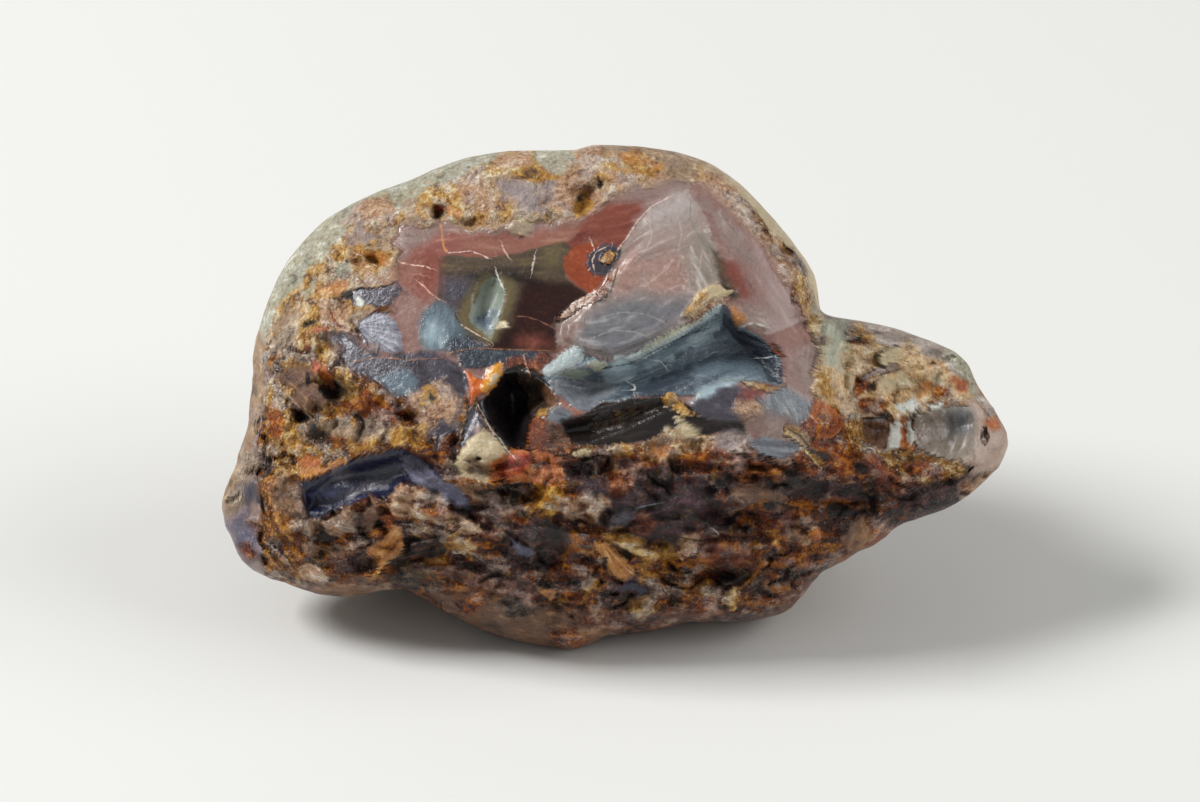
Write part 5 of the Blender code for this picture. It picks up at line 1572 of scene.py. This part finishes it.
    def seams(self) -> tuple[np.ndarray, np.ndarray, np.ndarray]:
        """The seams as one set of values.

        Returns:
            Signed distance to the nearest seam, 1 along it and 0 away from it, and its colour
            with half its width in millimetres as alpha.
        """
        size = len(self.plane)
        side, shown, colour = np.full(size, 5.0), np.zeros(size), np.zeros((size, 4))
        for seam in SEAMS:
            line = on_face(corners(seam.points))
            low, high = line.min(0) - 1.0, line.max(0) + 1.0
            inside = ((self.plane > low) & (self.plane < high)).all(1) & (self.depth < 1.0)
            near = np.flatnonzero(inside)
            distance = side_distance(self.plane[near], line)
            gap = np.abs(distance)
            ours = (gap < np.abs(side[near])) & (gap < self.seam_reach)
            near, distance = near[ours], distance[ours]
            side[near] = distance
            shown[near] = 1.0
            colour[near] = (*linear(seam.colour), seam.width / PIXELS_PER_MM / 2.0)
        return side, shown, colour

    def rind(self) -> np.ndarray:
        """Tones of the rind, blended between the places where the rim shows them.

        Returns:
            Dark, mid and light colour of each point.
        """
        spots = np.array([row[:2] for row in RIND_TONES], float)
        weight = nearness(self.plane, spots, self.rind_reach) + 1e-9
        weight /= weight.sum(1)[:, None]
        tones = np.zeros((3, len(self.plane), 4))
        for level, name in enumerate(TONE_NAMES):
            palette = np.array([rgba(getattr(row[2], name)) for row in RIND_TONES])
            tones[level] = weight @ palette
        return tones


@dataclass(frozen=True)
class Clouds:
    """One noise of the material.

    Attributes:
        size: of its features, in millimetres.
        detail: how many finer copies it has.
        rough: how strong those are.
    """

    size: float
    detail: float = 3.0
    rough: float = 0.6

    @property
    def inputs(self) -> tuple[float, float, float]:
        """What its node takes after the place."""
        return 1.0 / self.size, self.detail, self.rough


@dataclass(frozen=True)
class Onset:
    """Where a noise turns into a marking, and how strongly that shows.

    Attributes:
        low, high: values of the noise between which it sets in.
        before, after: its strength up to low and from high on.
    """

    low: float
    high: float
    before: float = 0.0
    after: float = 1.0

    @property
    def inputs(self) -> tuple[float, float, float, float]:
        """What its node takes after the noise's value."""
        return self.low, self.high, self.before, self.after


# Soft clouds of tone; the crags and crevices of the crust, whose noise also paints light on the
# ridges and shade in the crevices; and the agate's streaks and bands across their lie.
MOTTLE = Clouds(2.0, detail=4.0)
CRAG_TONES = Clouds(0.85, detail=4.0, rough=0.7)
WEAVE = Clouds(0.75)

# The real specks and crystal grains are about 0.1 mm. That is too fine to show, so they are drawn
# coarser.
SPECKLE = Clouds(0.42, rough=0.65)
CRYSTAL_SIZE = 0.42

# Rusty and golden stains, and parts where the crust has bleached.
STAINS = Clouds(1.5, detail=5.0, rough=0.68)
RUSTY = Onset(0.53, 0.66, after=0.62)
GOLDEN = Onset(0.46, 0.34, after=0.50)
FADING = Clouds(2.8)
BLEACHED = Onset(0.47, 0.60, before=1.18, after=0.55)

# Painted shade in the crevices and pits of the crust.
CREVICE_SHADE = Onset(0.34, 0.43, before=0.55, after=0.0)
DEEP_PIT_SHADE = Onset(-1.1, -0.40, before=0.80, after=0.0)

# How cracks and veins thin out, wear away, end and blur, the last in millimetres.
LINE_WEIGHT = Onset(0.35, 0.65, before=0.3)
LINE_WEAR = Onset(0.36, 0.50, before=0.15, after=0.8)
LINE_END = Onset(0.45, 0.75)
LINE_BLUR = 0.04

# The core of a crystal grain, and which grains carry a painted glint and which are dark.
GRAIN_CORE = Onset(0.30, 0.12)
GLINT_GRAINS = Onset(0.70, 0.78)
DARK_GRAINS = Onset(0.26, 0.18)

# Broad tones of the rind, its rusty pores, and the depth behind the rim where it closes.
RIND_TONE = Clouds(7.0, detail=4.0)
PORES = Clouds(0.9, detail=2.0)
PORE_SPOTS = Onset(0.66, 0.74)
RIND_EDGE = Onset(0.8, 1.8)

# The finest relief, which gives the surface its tooth.
TOOTH = Clouds(0.2)

# What a node does with its inputs.
TIMES = {"operation": "MULTIPLY"}
TIMES_PLUS = {"operation": "MULTIPLY_ADD"}
PLUS = {"operation": "ADD"}
MINUS = {"operation": "SUBTRACT"}
LARGER = {"operation": "MAXIMUM"}
UNSIGNED = {"operation": "ABSOLUTE"}
SCALED = {"operation": "SCALE"}
SMOOTHLY = {"interpolation_type": "SMOOTHSTEP"}
COLOURS = {"data_type": "RGBA"}


@dataclass
class NodeBuilder:
    """Adds nodes to one material.

    Attributes:
        tree: the material's node tree.
    """

    tree: bpy.types.NodeTree

    def add(self, kind: str, *values: Any, result: str = "", **settings: Any) -> Any:
        """Adds one node with its settings and links.

        Args:
            kind: the node's type, without its ShaderNode prefix.
            *values: numbers, colours or sockets for its inputs in their order; None leaves one
                as it is.
            result: name of the output that is wanted, if it isn't the first.
            **settings: its other settings.

        Returns:
            The socket of that output.
        """
        node = self.tree.nodes.new("ShaderNode" + kind)
        for name, value in settings.items():
            setattr(node, name, value)
        inputs = [socket for socket in node.inputs if socket.enabled]
        for socket, value in zip(inputs, values):
            if isinstance(value, bpy.types.NodeSocket):
                self.tree.links.new(value, socket)
            elif value is not None:
                socket.default_value = value
        outputs = [socket for socket in node.outputs if socket.enabled]
        return node.outputs[result] if result else outputs[0]


@dataclass
class AgateMaterial:
    """Chalcedony and the minerals that grew with it.

    To the eye it is a waxy to glassy break with soft bands, ringed by a rough crust with rusty
    stains, painted shade in its pits and painted glints on its grains, inside a chalky weathered rind.

    Attributes:
        layer_count: how many layers of zones are stored on the mesh.
        quartz_ior: chalcedony's index of refraction.
        agate_contrast: how far the agate's tones part.
        crust_contrast: how much further those of the crust part.
        gloss_spread: how far the roughness varies from place to place.
        material: the material.
        make: adds its nodes.
        place: object coordinates in millimetres.
        mottle, speckle, crags: the noises that most markings share.
        cells: distance from the middle of each crystal grain.
        lumps: stored height of the crust's lumps, from which light and shade are painted.
        grain: stored height of the finest relief.
        rough: 0 on smooth agate and 1 on crust.
    """

    layer_count: int
    quartz_ior: float = 1.54
    agate_contrast: float = 2.2
    crust_contrast: float = 1.2
    gloss_spread: float = 0.30
    material: bpy.types.Material = field(init=False)
    make: NodeBuilder = field(init=False)
    place: Any = field(init=False)
    mottle: Any = field(init=False)
    speckle: Any = field(init=False)
    crags: Any = field(init=False)
    cells: Any = field(init=False)
    lumps: Any = field(init=False)
    grain: Any = field(init=False)
    rough: Any = field(init=False)

    def __post_init__(self) -> None:
        """Adds what most of the markings share."""
        self.material = bpy.data.materials.new("broken_chalcedony")
        self.material.use_nodes = True
        make = NodeBuilder(self.material.node_tree)
        self.make = make
        metres = make.add("TexCoord", result="Object")
        self.place = make.add("VectorMath", metres, 1.0 / MM, **SCALED)
        self.mottle = make.add("TexNoise", self.place, *MOTTLE.inputs)
        self.speckle = make.add("TexNoise", self.place, *SPECKLE.inputs)
        self.crags = make.add("TexNoise", self.place, *CRAG_TONES.inputs)
        self.cells = make.add("TexVoronoi", self.place, 1.0 / CRYSTAL_SIZE)
        self.lumps = make.add("Attribute", result="Fac", attribute_name="relief_shade")
        self.grain = make.add("Attribute", result="Fac", attribute_name="grain")
        self.rough = make.add("MapRange", self.grain, SMOOTH_GRAIN, ROUGH_GRAIN, **SMOOTHLY)

    def build(self) -> bpy.types.Material:
        """Makes the material.

        Returns:
            The material.
        """
        make, spread = self.make, self.gloss_spread
        shader = self.material.node_tree.nodes["Principled BSDF"]
        shader.inputs["IOR"].default_value = self.quartz_ior
        colour = self.seam_colour(self.face_colour())
        colour = self.crevice_shaded(self.stained(colour))
        colour = self.rind_colour(self.grains_and_glints(colour))
        gloss = make.add("Attribute", result="Fac", attribute_name="roughness")
        wear = make.add("Math", self.speckle, spread, -spread / 2.0, **TIMES_PLUS)
        gloss = make.add("Math", gloss, wear, **PLUS)
        for name, socket in (("Base Color", colour), ("Roughness", gloss), ("Normal", self.relief())):
            make.tree.links.new(socket, shader.inputs[name])
        return self.material

    def three_tones(self, value: Any, dark: Any, mid: Any, light: Any) -> Any:
        """Picks a tone.

        Args:
            value: 0 for the dark tone, 0.5 for the mid one and 1 for the light one.
            dark, mid, light: the tones.

        Returns:
            The socket of the colour.
        """
        make = self.make
        lower = make.add("MapRange", value, 0.0, 0.5, **SMOOTHLY)
        upper = make.add("MapRange", value, 0.5, 1.0, **SMOOTHLY)
        found = make.add("Mix", lower, dark, mid, **COLOURS)
        return make.add("Mix", upper, found, light, **COLOURS)

    def face_colour(self) -> Any:
        """Lays the zones' layers over each other, with painted light and shade on the relief.

        Returns:
            The socket of the colour.
        """
        make = self.make
        contrast = make.add("Math", self.rough, self.crust_contrast, self.agate_contrast, **TIMES_PLUS)
        # Painted light and shade: the tone is lifted on the crags and lumps of the relief and lowered in
        # its hollows.
        relief_shading = make.add("Math", self.crags, 2.4, -1.2, **TIMES_PLUS)
        relief_shading = make.add("Math", relief_shading, self.rough, **TIMES)
        relief_shading = make.add("Math", make.add("Math", self.lumps, 0.45, 0.5, **TIMES_PLUS), relief_shading, **PLUS)
        wander = make.add("Math", self.mottle, 3.4, -1.7, **TIMES_PLUS)
        wander = make.add("Math", wander, make.add("Math", self.speckle, 2.4, -1.2, **TIMES_PLUS), **PLUS)
        loose = make.add("Math", self.speckle, 0.4, **TIMES)
        loose = make.add("Math", self.mottle, 0.6, loose, **TIMES_PLUS)
        for level in range(self.layer_count):
            shape = make.add("Attribute", result="Vector", attribute_name=f"zone_{level}")
            edge, across, along = make.add("SeparateXYZ", shape).node.outputs
            names = (f"{tone}_{level}" for tone in TONE_NAMES)
            dark, mid, light = (make.add("Attribute", attribute_name=name) for name in names)
            ragged, soft, weave = (tone.node.outputs["Alpha"] for tone in (dark, mid, light))
            edge = make.add("Math", wander, ragged, edge, **TIMES_PLUS)
            outside = make.add("Math", soft, -1.0, **TIMES)
            shown = make.add("MapRange", edge, outside, soft, **SMOOTHLY)
            flow = make.add("CombineXYZ", across, along, 3.7 * level)
            woven = make.add("TexNoise", flow, *WEAVE.inputs)
            value = make.add("Mix", weave, loose, woven)
            value = make.add("Math", value, 0.5, **MINUS)
            value = make.add("Math", value, contrast, relief_shading, **TIMES_PLUS)
            found = self.three_tones(value, dark, mid, light)
            colour = make.add("Mix", shown, colour, found, **COLOURS) if level else found
        depth = make.add("Math", self.rough, 1.0, 0.3, **TIMES_PLUS)
        fleck = make.add("Math", self.speckle, 0.5, **MINUS)
        fleck = make.add("Math", fleck, depth, 1.0, **TIMES_PLUS)
        return make.add("VectorMath", colour, fleck, **SCALED)

    def stained(self, colour: Any) -> Any:
        """Spreads rusty and golden stains over the crust, and bleaches parts of it.

        Args:
            colour: the colour below.

        Returns:
            The socket of the colour.
        """
        make = self.make
        spread = make.add("TexNoise", self.place, *STAINS.inputs)
        for onset, tone in ((RUSTY, RUST_STAIN), (GOLDEN, GOLD_STAIN)):
            share = make.add("MapRange", spread, *onset.inputs, **SMOOTHLY)
            share = make.add("Math", share, self.rough, **TIMES)
            colour = make.add("Mix", share, colour, rgba(tone), **COLOURS)
        faded = make.add("TexNoise", self.place, *FADING.inputs)
        faded = make.add("MapRange", faded, *BLEACHED.inputs, **SMOOTHLY)
        return make.add("HueSaturation", None, faded, None, self.rough, colour)

    def crevice_shaded(self, colour: Any) -> Any:
        """Paints shade into the crevices and pits of the crust.

        Args:
            colour: the colour below.

        Returns:
            The socket of the colour.
        """
        make = self.make
        small = make.add("MapRange", self.crags, *CREVICE_SHADE.inputs, **SMOOTHLY)
        large = make.add("MapRange", self.lumps, *DEEP_PIT_SHADE.inputs, **SMOOTHLY)
        share = make.add("Math", small, large, **LARGER)
        share = make.add("Math", share, self.rough, **TIMES)
        return make.add("Mix", share, colour, rgba(SHADE_AND_DARK_GRAIN), **COLOURS)

    def seam_colour(self, colour: Any) -> Any:
        """Draws the cracks, veins and bright edges.

        Args:
            colour: the colour below.

        Returns:
            The socket of the colour.
        """
        make = self.make
        line = make.add("Attribute", result="Vector", attribute_name="seam")
        parts = make.add("SeparateXYZ", line).node.outputs
        tone = make.add("Attribute", attribute_name="seam_tone")
        wander = make.add("Math", self.speckle, 0.5, -0.25, **TIMES_PLUS)
        gap = make.add("Math", wander, 0.35, parts["X"], **TIMES_PLUS)
        gap = make.add("Math", gap, **UNSIGNED)
        weight = make.add("MapRange", self.crags, *LINE_WEIGHT.inputs, **SMOOTHLY)
        half = make.add("Math", tone.node.outputs["Alpha"], weight, **TIMES)
        outer = make.add("Math", half, LINE_BLUR, **PLUS)
        inner = make.add("Math", half, LINE_BLUR, **MINUS)
        shown = make.add("MapRange", gap, outer, inner, **SMOOTHLY)
        for value, onset in ((parts["Y"], LINE_END), (self.speckle, LINE_WEAR)):
            left = make.add("MapRange", value, *onset.inputs, **SMOOTHLY)
            shown = make.add("Math", shown, left, **TIMES)
        return make.add("Mix", shown, colour, tone, **COLOURS)

    def grains_and_glints(self, colour: Any) -> Any:
        """Scatters dark crystal grains and grains with a painted glint over the sugary parts.

        Args:
            colour: the colour below.

        Returns:
            The socket of the colour.
        """
        make = self.make
        core = make.add("MapRange", self.cells, *GRAIN_CORE.inputs, **SMOOTHLY)
        chance = make.add("SeparateColor", self.cells.node.outputs["Color"])
        sugar_and_glint = make.add("Attribute", result="Fac", attribute_name="sugar_and_glint")
        for onset, tone in ((DARK_GRAINS, SHADE_AND_DARK_GRAIN), (GLINT_GRAINS, PAINTED_GLINT)):
            share = make.add("MapRange", chance, *onset.inputs, **SMOOTHLY)
            share = make.add("Math", core, share, **TIMES)
            share = make.add("Math", share, sugar_and_glint, **TIMES)
            colour = make.add("Mix", share, colour, rgba(tone), **COLOURS)
        return colour

    def rind_colour(self, colour: Any) -> Any:
        """Covers what is behind the rim with weathered rind.

        Args:
            colour: the colour of the face.

        Returns:
            The socket of the colour.
        """
        make = self.make
        value = make.add("TexNoise", self.place, *RIND_TONE.inputs)
        value = make.add("Math", value, 0.6, make.add("Math", self.mottle, 0.4, **TIMES), **TIMES_PLUS)
        value = make.add("Math", value, 3.4, -1.2, **TIMES_PLUS)
        tones = (make.add("Attribute", attribute_name=f"rind_{name}") for name in TONE_NAMES)
        rind = self.three_tones(value, *tones)
        pores = make.add("TexNoise", self.place, *PORES.inputs)
        pores = make.add("MapRange", pores, *PORE_SPOTS.inputs, **SMOOTHLY)
        pores = make.add("Math", pores, 0.55, **TIMES)
        rind = make.add("Mix", pores, rind, rgba(RUST.dark), **COLOURS)
        fleck = make.add("Math", self.speckle, 0.5, 0.75, **TIMES_PLUS)
        rind = make.add("VectorMath", rind, fleck, **SCALED)
        depth = make.add("Attribute", result="Fac", attribute_name="behind")
        wander = make.add("Math", self.mottle, 3.0, -1.5, **TIMES_PLUS)
        shown = make.add("Math", depth, wander, **PLUS)
        shown = make.add("MapRange", shown, *RIND_EDGE.inputs, **SMOOTHLY)
        return make.add("Mix", shown, colour, rind, **COLOURS)

    def relief(self) -> Any:
        """Adds the relief that is finer than the mesh.

        Returns:
            The socket of the normal.
        """
        make = self.make
        tooth = make.add("TexNoise", self.place, *TOOTH.inputs)
        fine = make.add("Math", tooth, 0.7, **TIMES)
        bumps = make.add("Math", self.cells, self.rough, **TIMES)
        height = make.add("Math", bumps, -0.9, fine, **TIMES_PLUS)
        height = make.add("Math", self.crags, 6.0, height, **TIMES_PLUS)
        height = make.add("Math", height, self.grain, **TIMES)
        return make.add("Bump", 1.0, MM, None, height)


@dataclass
class Stone:
    """The agate nodule: one stone with its markings.

    Attributes:
        form: its form.
        divisions: how finely the sphere that it is made from is divided.
        longest_edge: edges on the broken side that are longer are split, in millimetres.
        split_above: height over the rim plane from which on edges are split, in millimetres.
        smooth_below, rough_above: grain between which a mineral starts to crumble.
        relief_limit: the stored height of the crust's lumps, which paints light and shade, is cut off
            here, in millimetres.
        rind_roughness: of the weathered rind.
        rind_grain: height of the rind's fine relief, in millimetres.
    """

    form: StoneForm
    divisions: int = 7
    longest_edge: float = 0.44
    split_above: float = 0.3
    smooth_below: float = 0.03
    rough_above: float = 0.14
    relief_limit: float = 1.2
    rind_roughness: float = 0.66
    rind_grain: float = 0.10

    def directions_of(self, bm: bmesh.types.BMesh) -> np.ndarray:
        """The sphere's points as unit vectors."""
        found = np.array([v.co[:] for v in bm.verts])
        return found / np.linalg.norm(found, axis=1)[:, None]

    def refine(self, bm: bmesh.types.BMesh) -> None:
        """Splits the edges that come out long on the broken side.

        Args:
            bm: the sphere.
        """
        bm.verts.index_update()
        plane, height = self.form.places(self.directions_of(bm))
        stone = np.column_stack([plane, height])
        ends = np.array([[v.index for v in edge.verts] for edge in bm.edges])
        length = np.linalg.norm(stone[ends[:, 0]] - stone[ends[:, 1]], axis=1)
        wanted = (height[ends].min(1) > self.split_above) & (length > self.longest_edge)
        edges = [edge for edge, split in zip(bm.edges, wanted) if split]
        bmesh.ops.subdivide_edges(bm, edges=edges, cuts=1, use_grid_fill=True)
        bmesh.ops.triangulate(bm, faces=bm.faces[:])

    def store(self, mesh: bpy.types.Mesh, name: str, values: np.ndarray) -> None:
        """Stores values at the mesh's points.

        Args:
            mesh: the stone's mesh.
            name: what to store them as.
            values: one number, three numbers or a colour with alpha for each point.
        """
        kinds = {1: ("FLOAT", "value"), 3: ("FLOAT_VECTOR", "vector"), 4: ("FLOAT_COLOR", "color")}
        width = 1 if values.ndim == 1 else values.shape[1]
        kind, slot = kinds[width]
        made = mesh.attributes.new(name, kind, "POINT")
        made.data.foreach_set(slot, values.astype(np.float32).ravel())

    def mark(self, mesh: bpy.types.Mesh, marks: FaceMarkings, crumbly: np.ndarray) -> None:
        """Stores the zones, the seams and the rind.

        Args:
            mesh: the stone's mesh.
            marks: the markings of its points.
            crumbly: how rough each point breaks.
        """
        plane, depth = marks.plane, marks.depth
        for level, layer in enumerate(marks.layers):
            self.store(mesh, f"zone_{level}", np.column_stack([layer.edge, layer.flow]))
            for name, tone in zip(TONE_NAMES, layer.tones):
                self.store(mesh, f"{name}_{level}", tone)
        side, shown, colour = marks.seams()
        self.store(mesh, "seam", np.column_stack([side, shown, np.zeros(len(plane))]))
        self.store(mesh, "seam_tone", colour)
        for name, tone in zip(TONE_NAMES, marks.rind()):
            self.store(mesh, f"rind_{name}", tone)
        back = smooth_step(0.5, 2.5, depth)
        front = 1.0 - back
        # The fine relief, stored to paint its ridges lighter and its hollows darker: painted light and
        # shade.
        relief = self.form.fine_crust(plane, crumbly)
        self.store(mesh, "relief_shade", np.clip(relief, -self.relief_limit, self.relief_limit) * front)
        self.store(mesh, "behind", depth)
        roughness, grain, sugar_and_glint = marks.looks.T
        self.store(mesh, "roughness", roughness * front + self.rind_roughness * back)
        self.store(mesh, "grain", grain * front + self.rind_grain * back)
        self.store(mesh, "sugar_and_glint", sugar_and_glint * front)

    def build(self) -> bpy.types.Object:
        """Makes the stone.

        Returns:
            The object, which stands for the CAD node.
        """
        bm = bmesh.new()
        bmesh.ops.create_icosphere(bm, subdivisions=self.divisions, radius=1.0)
        self.refine(bm)
        directions = self.directions_of(bm)
        plane, height = self.form.places(directions)
        marks = FaceMarkings(plane, np.maximum(-height, 0.0))
        crumbly = smooth_step(self.smooth_below, self.rough_above, marks.looks[:, 1])
        plane, height = self.form.places(directions, crumbly)
        low, high = (np.array(corner) for corner in CAD_BOX)
        places = np.clip(self.form.in_room(plane, height), low, high)
        for vertex, place in zip(bm.verts, places):
            vertex.co = place
        bmesh.ops.recalc_face_normals(bm, faces=bm.faces[:])
        mesh = bpy.data.meshes.new("agate_stone")
        bm.to_mesh(mesh)
        bm.free()
        mesh.shade_smooth()
        self.mark(mesh, marks, crumbly)
        mesh.materials.append(AgateMaterial(len(marks.layers)).build())
        stone = bpy.data.objects.new("agate_stone", mesh)
        bpy.context.scene.collection.objects.link(stone)
        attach(stone, "root")
        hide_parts("agate_nodule")
        log.info("agate_stone: %d triangles", len(mesh.polygons))
        return stone


@dataclass(frozen=True)
class Softbox:
    """A square soft light that points at the stone.

    Attributes:
        name: what to call it.
        azimuth: degrees round the stone, 0 at the camera and positive to its right.
        elevation: degrees above the horizon.
        size: of its side, in metres.
        power: in watts.
    """

    name: str
    azimuth: float
    elevation: float
    size: float
    power: float


# A near light from the left draws the relief, and a broad weak one opens the right side.
SOFTBOXES = (
    Softbox("key", azimuth=-92.0, elevation=44.0, size=0.4, power=15.0),
    Softbox("fill", azimuth=84.0, elevation=32.0, size=0.9, power=8.0),
)


@dataclass
class Studio:
    """Pale floor, soft lights and the camera that looks square at the broken face.

    Attributes:
        distance: of the camera from the middle of the face, in metres.
        elevation: of the camera above the horizon, in degrees.
        lens: focal length in millimetres.
        sensor: width of the film, in millimetres.
        nearest: nothing closer to the camera than this shows, in metres.
        aim_drop: how far below the middle of the face the picture's centre is, in millimetres.
        floor_size: side of the floor, in metres.
        floor_tone: sRGB colour of its matt paper, in hex.
        floor_roughness: of the paper.
        light_distance: of each light from the stone, in metres.
        sky_strength: of the even light from all round.
    """

    distance: float = 0.5
    elevation: float = 30.0
    lens: float = 150.0
    sensor: float = 36.0
    nearest: float = 0.01
    aim_drop: float = 0.1
    floor_size: float = 6.0
    floor_tone: str = "#D9D9D6"
    floor_roughness: float = 0.9
    light_distance: float = 1.2
    sky_strength: float = 0.30

    def floor(self) -> bpy.types.Object:
        """Makes the floor.

        Returns:
            The floor.
        """
        bm = bmesh.new()
        bmesh.ops.create_grid(bm, x_segments=1, y_segments=1, size=self.floor_size / 2.0)
        mesh = bpy.data.meshes.new("studio_floor")
        bm.to_mesh(mesh)
        bm.free()
        material = bpy.data.materials.new("matt_paper_floor")
        material.use_nodes = True
        shader = material.node_tree.nodes["Principled BSDF"]
        shader.inputs["Base Color"].default_value = rgba(self.floor_tone)
        shader.inputs["Roughness"].default_value = self.floor_roughness
        mesh.materials.append(material)
        floor = bpy.data.objects.new("studio_floor", mesh)
        bpy.context.scene.collection.objects.link(floor)
        return floor

    def hang(self, box: Softbox) -> None:
        """Hangs one soft light.

        Args:
            box: the light.
        """
        turn, tilt = math.radians(box.azimuth), math.radians(box.elevation)
        level = math.cos(tilt)
        away = Vector((math.sin(turn) * level, -math.cos(turn) * level, math.sin(tilt)))
        light = bpy.data.lights.new(box.name, "AREA")
        light.size = box.size
        light.energy = box.power
        lamp = bpy.data.objects.new(box.name, light)
        lamp.location = away * self.light_distance
        lamp.rotation_euler = away.to_track_quat("Z", "Y").to_euler()
        bpy.context.scene.collection.objects.link(lamp)

    def surroundings(self) -> None:
        """Fills the shadows with an even pale light."""
        world = bpy.data.worlds.new("studio")
        world.use_nodes = True
        sky = world.node_tree.nodes["Background"]
        sky.inputs["Color"].default_value = (1.0, 1.0, 1.0, 1.0)
        sky.inputs["Strength"].default_value = self.sky_strength
        bpy.context.scene.world = world

    def camera(self) -> bpy.types.Object:
        """Places the camera.

        Returns:
            The camera.
        """
        lean = math.radians(self.elevation)
        towards = Vector((0.0, -math.cos(lean), math.sin(lean)))
        up = Vector((0.0, math.sin(lean), math.cos(lean)))
        middle = Vector((0.0, 0.0, StoneForm.middle_height * MM)) - up * self.aim_drop * MM
        lens = bpy.data.cameras.new("camera")
        lens.lens = self.lens
        lens.sensor_width = self.sensor
        lens.clip_start = self.nearest
        camera = bpy.data.objects.new("camera", lens)
        camera.location = middle + towards * self.distance
        camera.rotation_euler = (math.radians(90.0 - self.elevation), 0.0, 0.0)
        bpy.context.scene.collection.objects.link(camera)
        bpy.context.scene.camera = camera
        return camera

    def build(self) -> None:
        """Sets up the floor, the lights and the camera."""
        self.camera()
        self.floor()
        self.surroundings()
        for box in SOFTBOXES:
            self.hang(box)
        bpy.context.scene.view_settings.view_transform = "Standard"
        log.info("studio: camera at %.2f m, lens %.0f mm", self.distance, self.lens)


def main() -> None:
    """Builds the studio and the stone."""
    logging.basicConfig(level=logging.INFO, format="%(name)s %(message)s")
    Studio().build()
    Stone(StoneForm()).build()


if __name__ == "__main__":
    main()
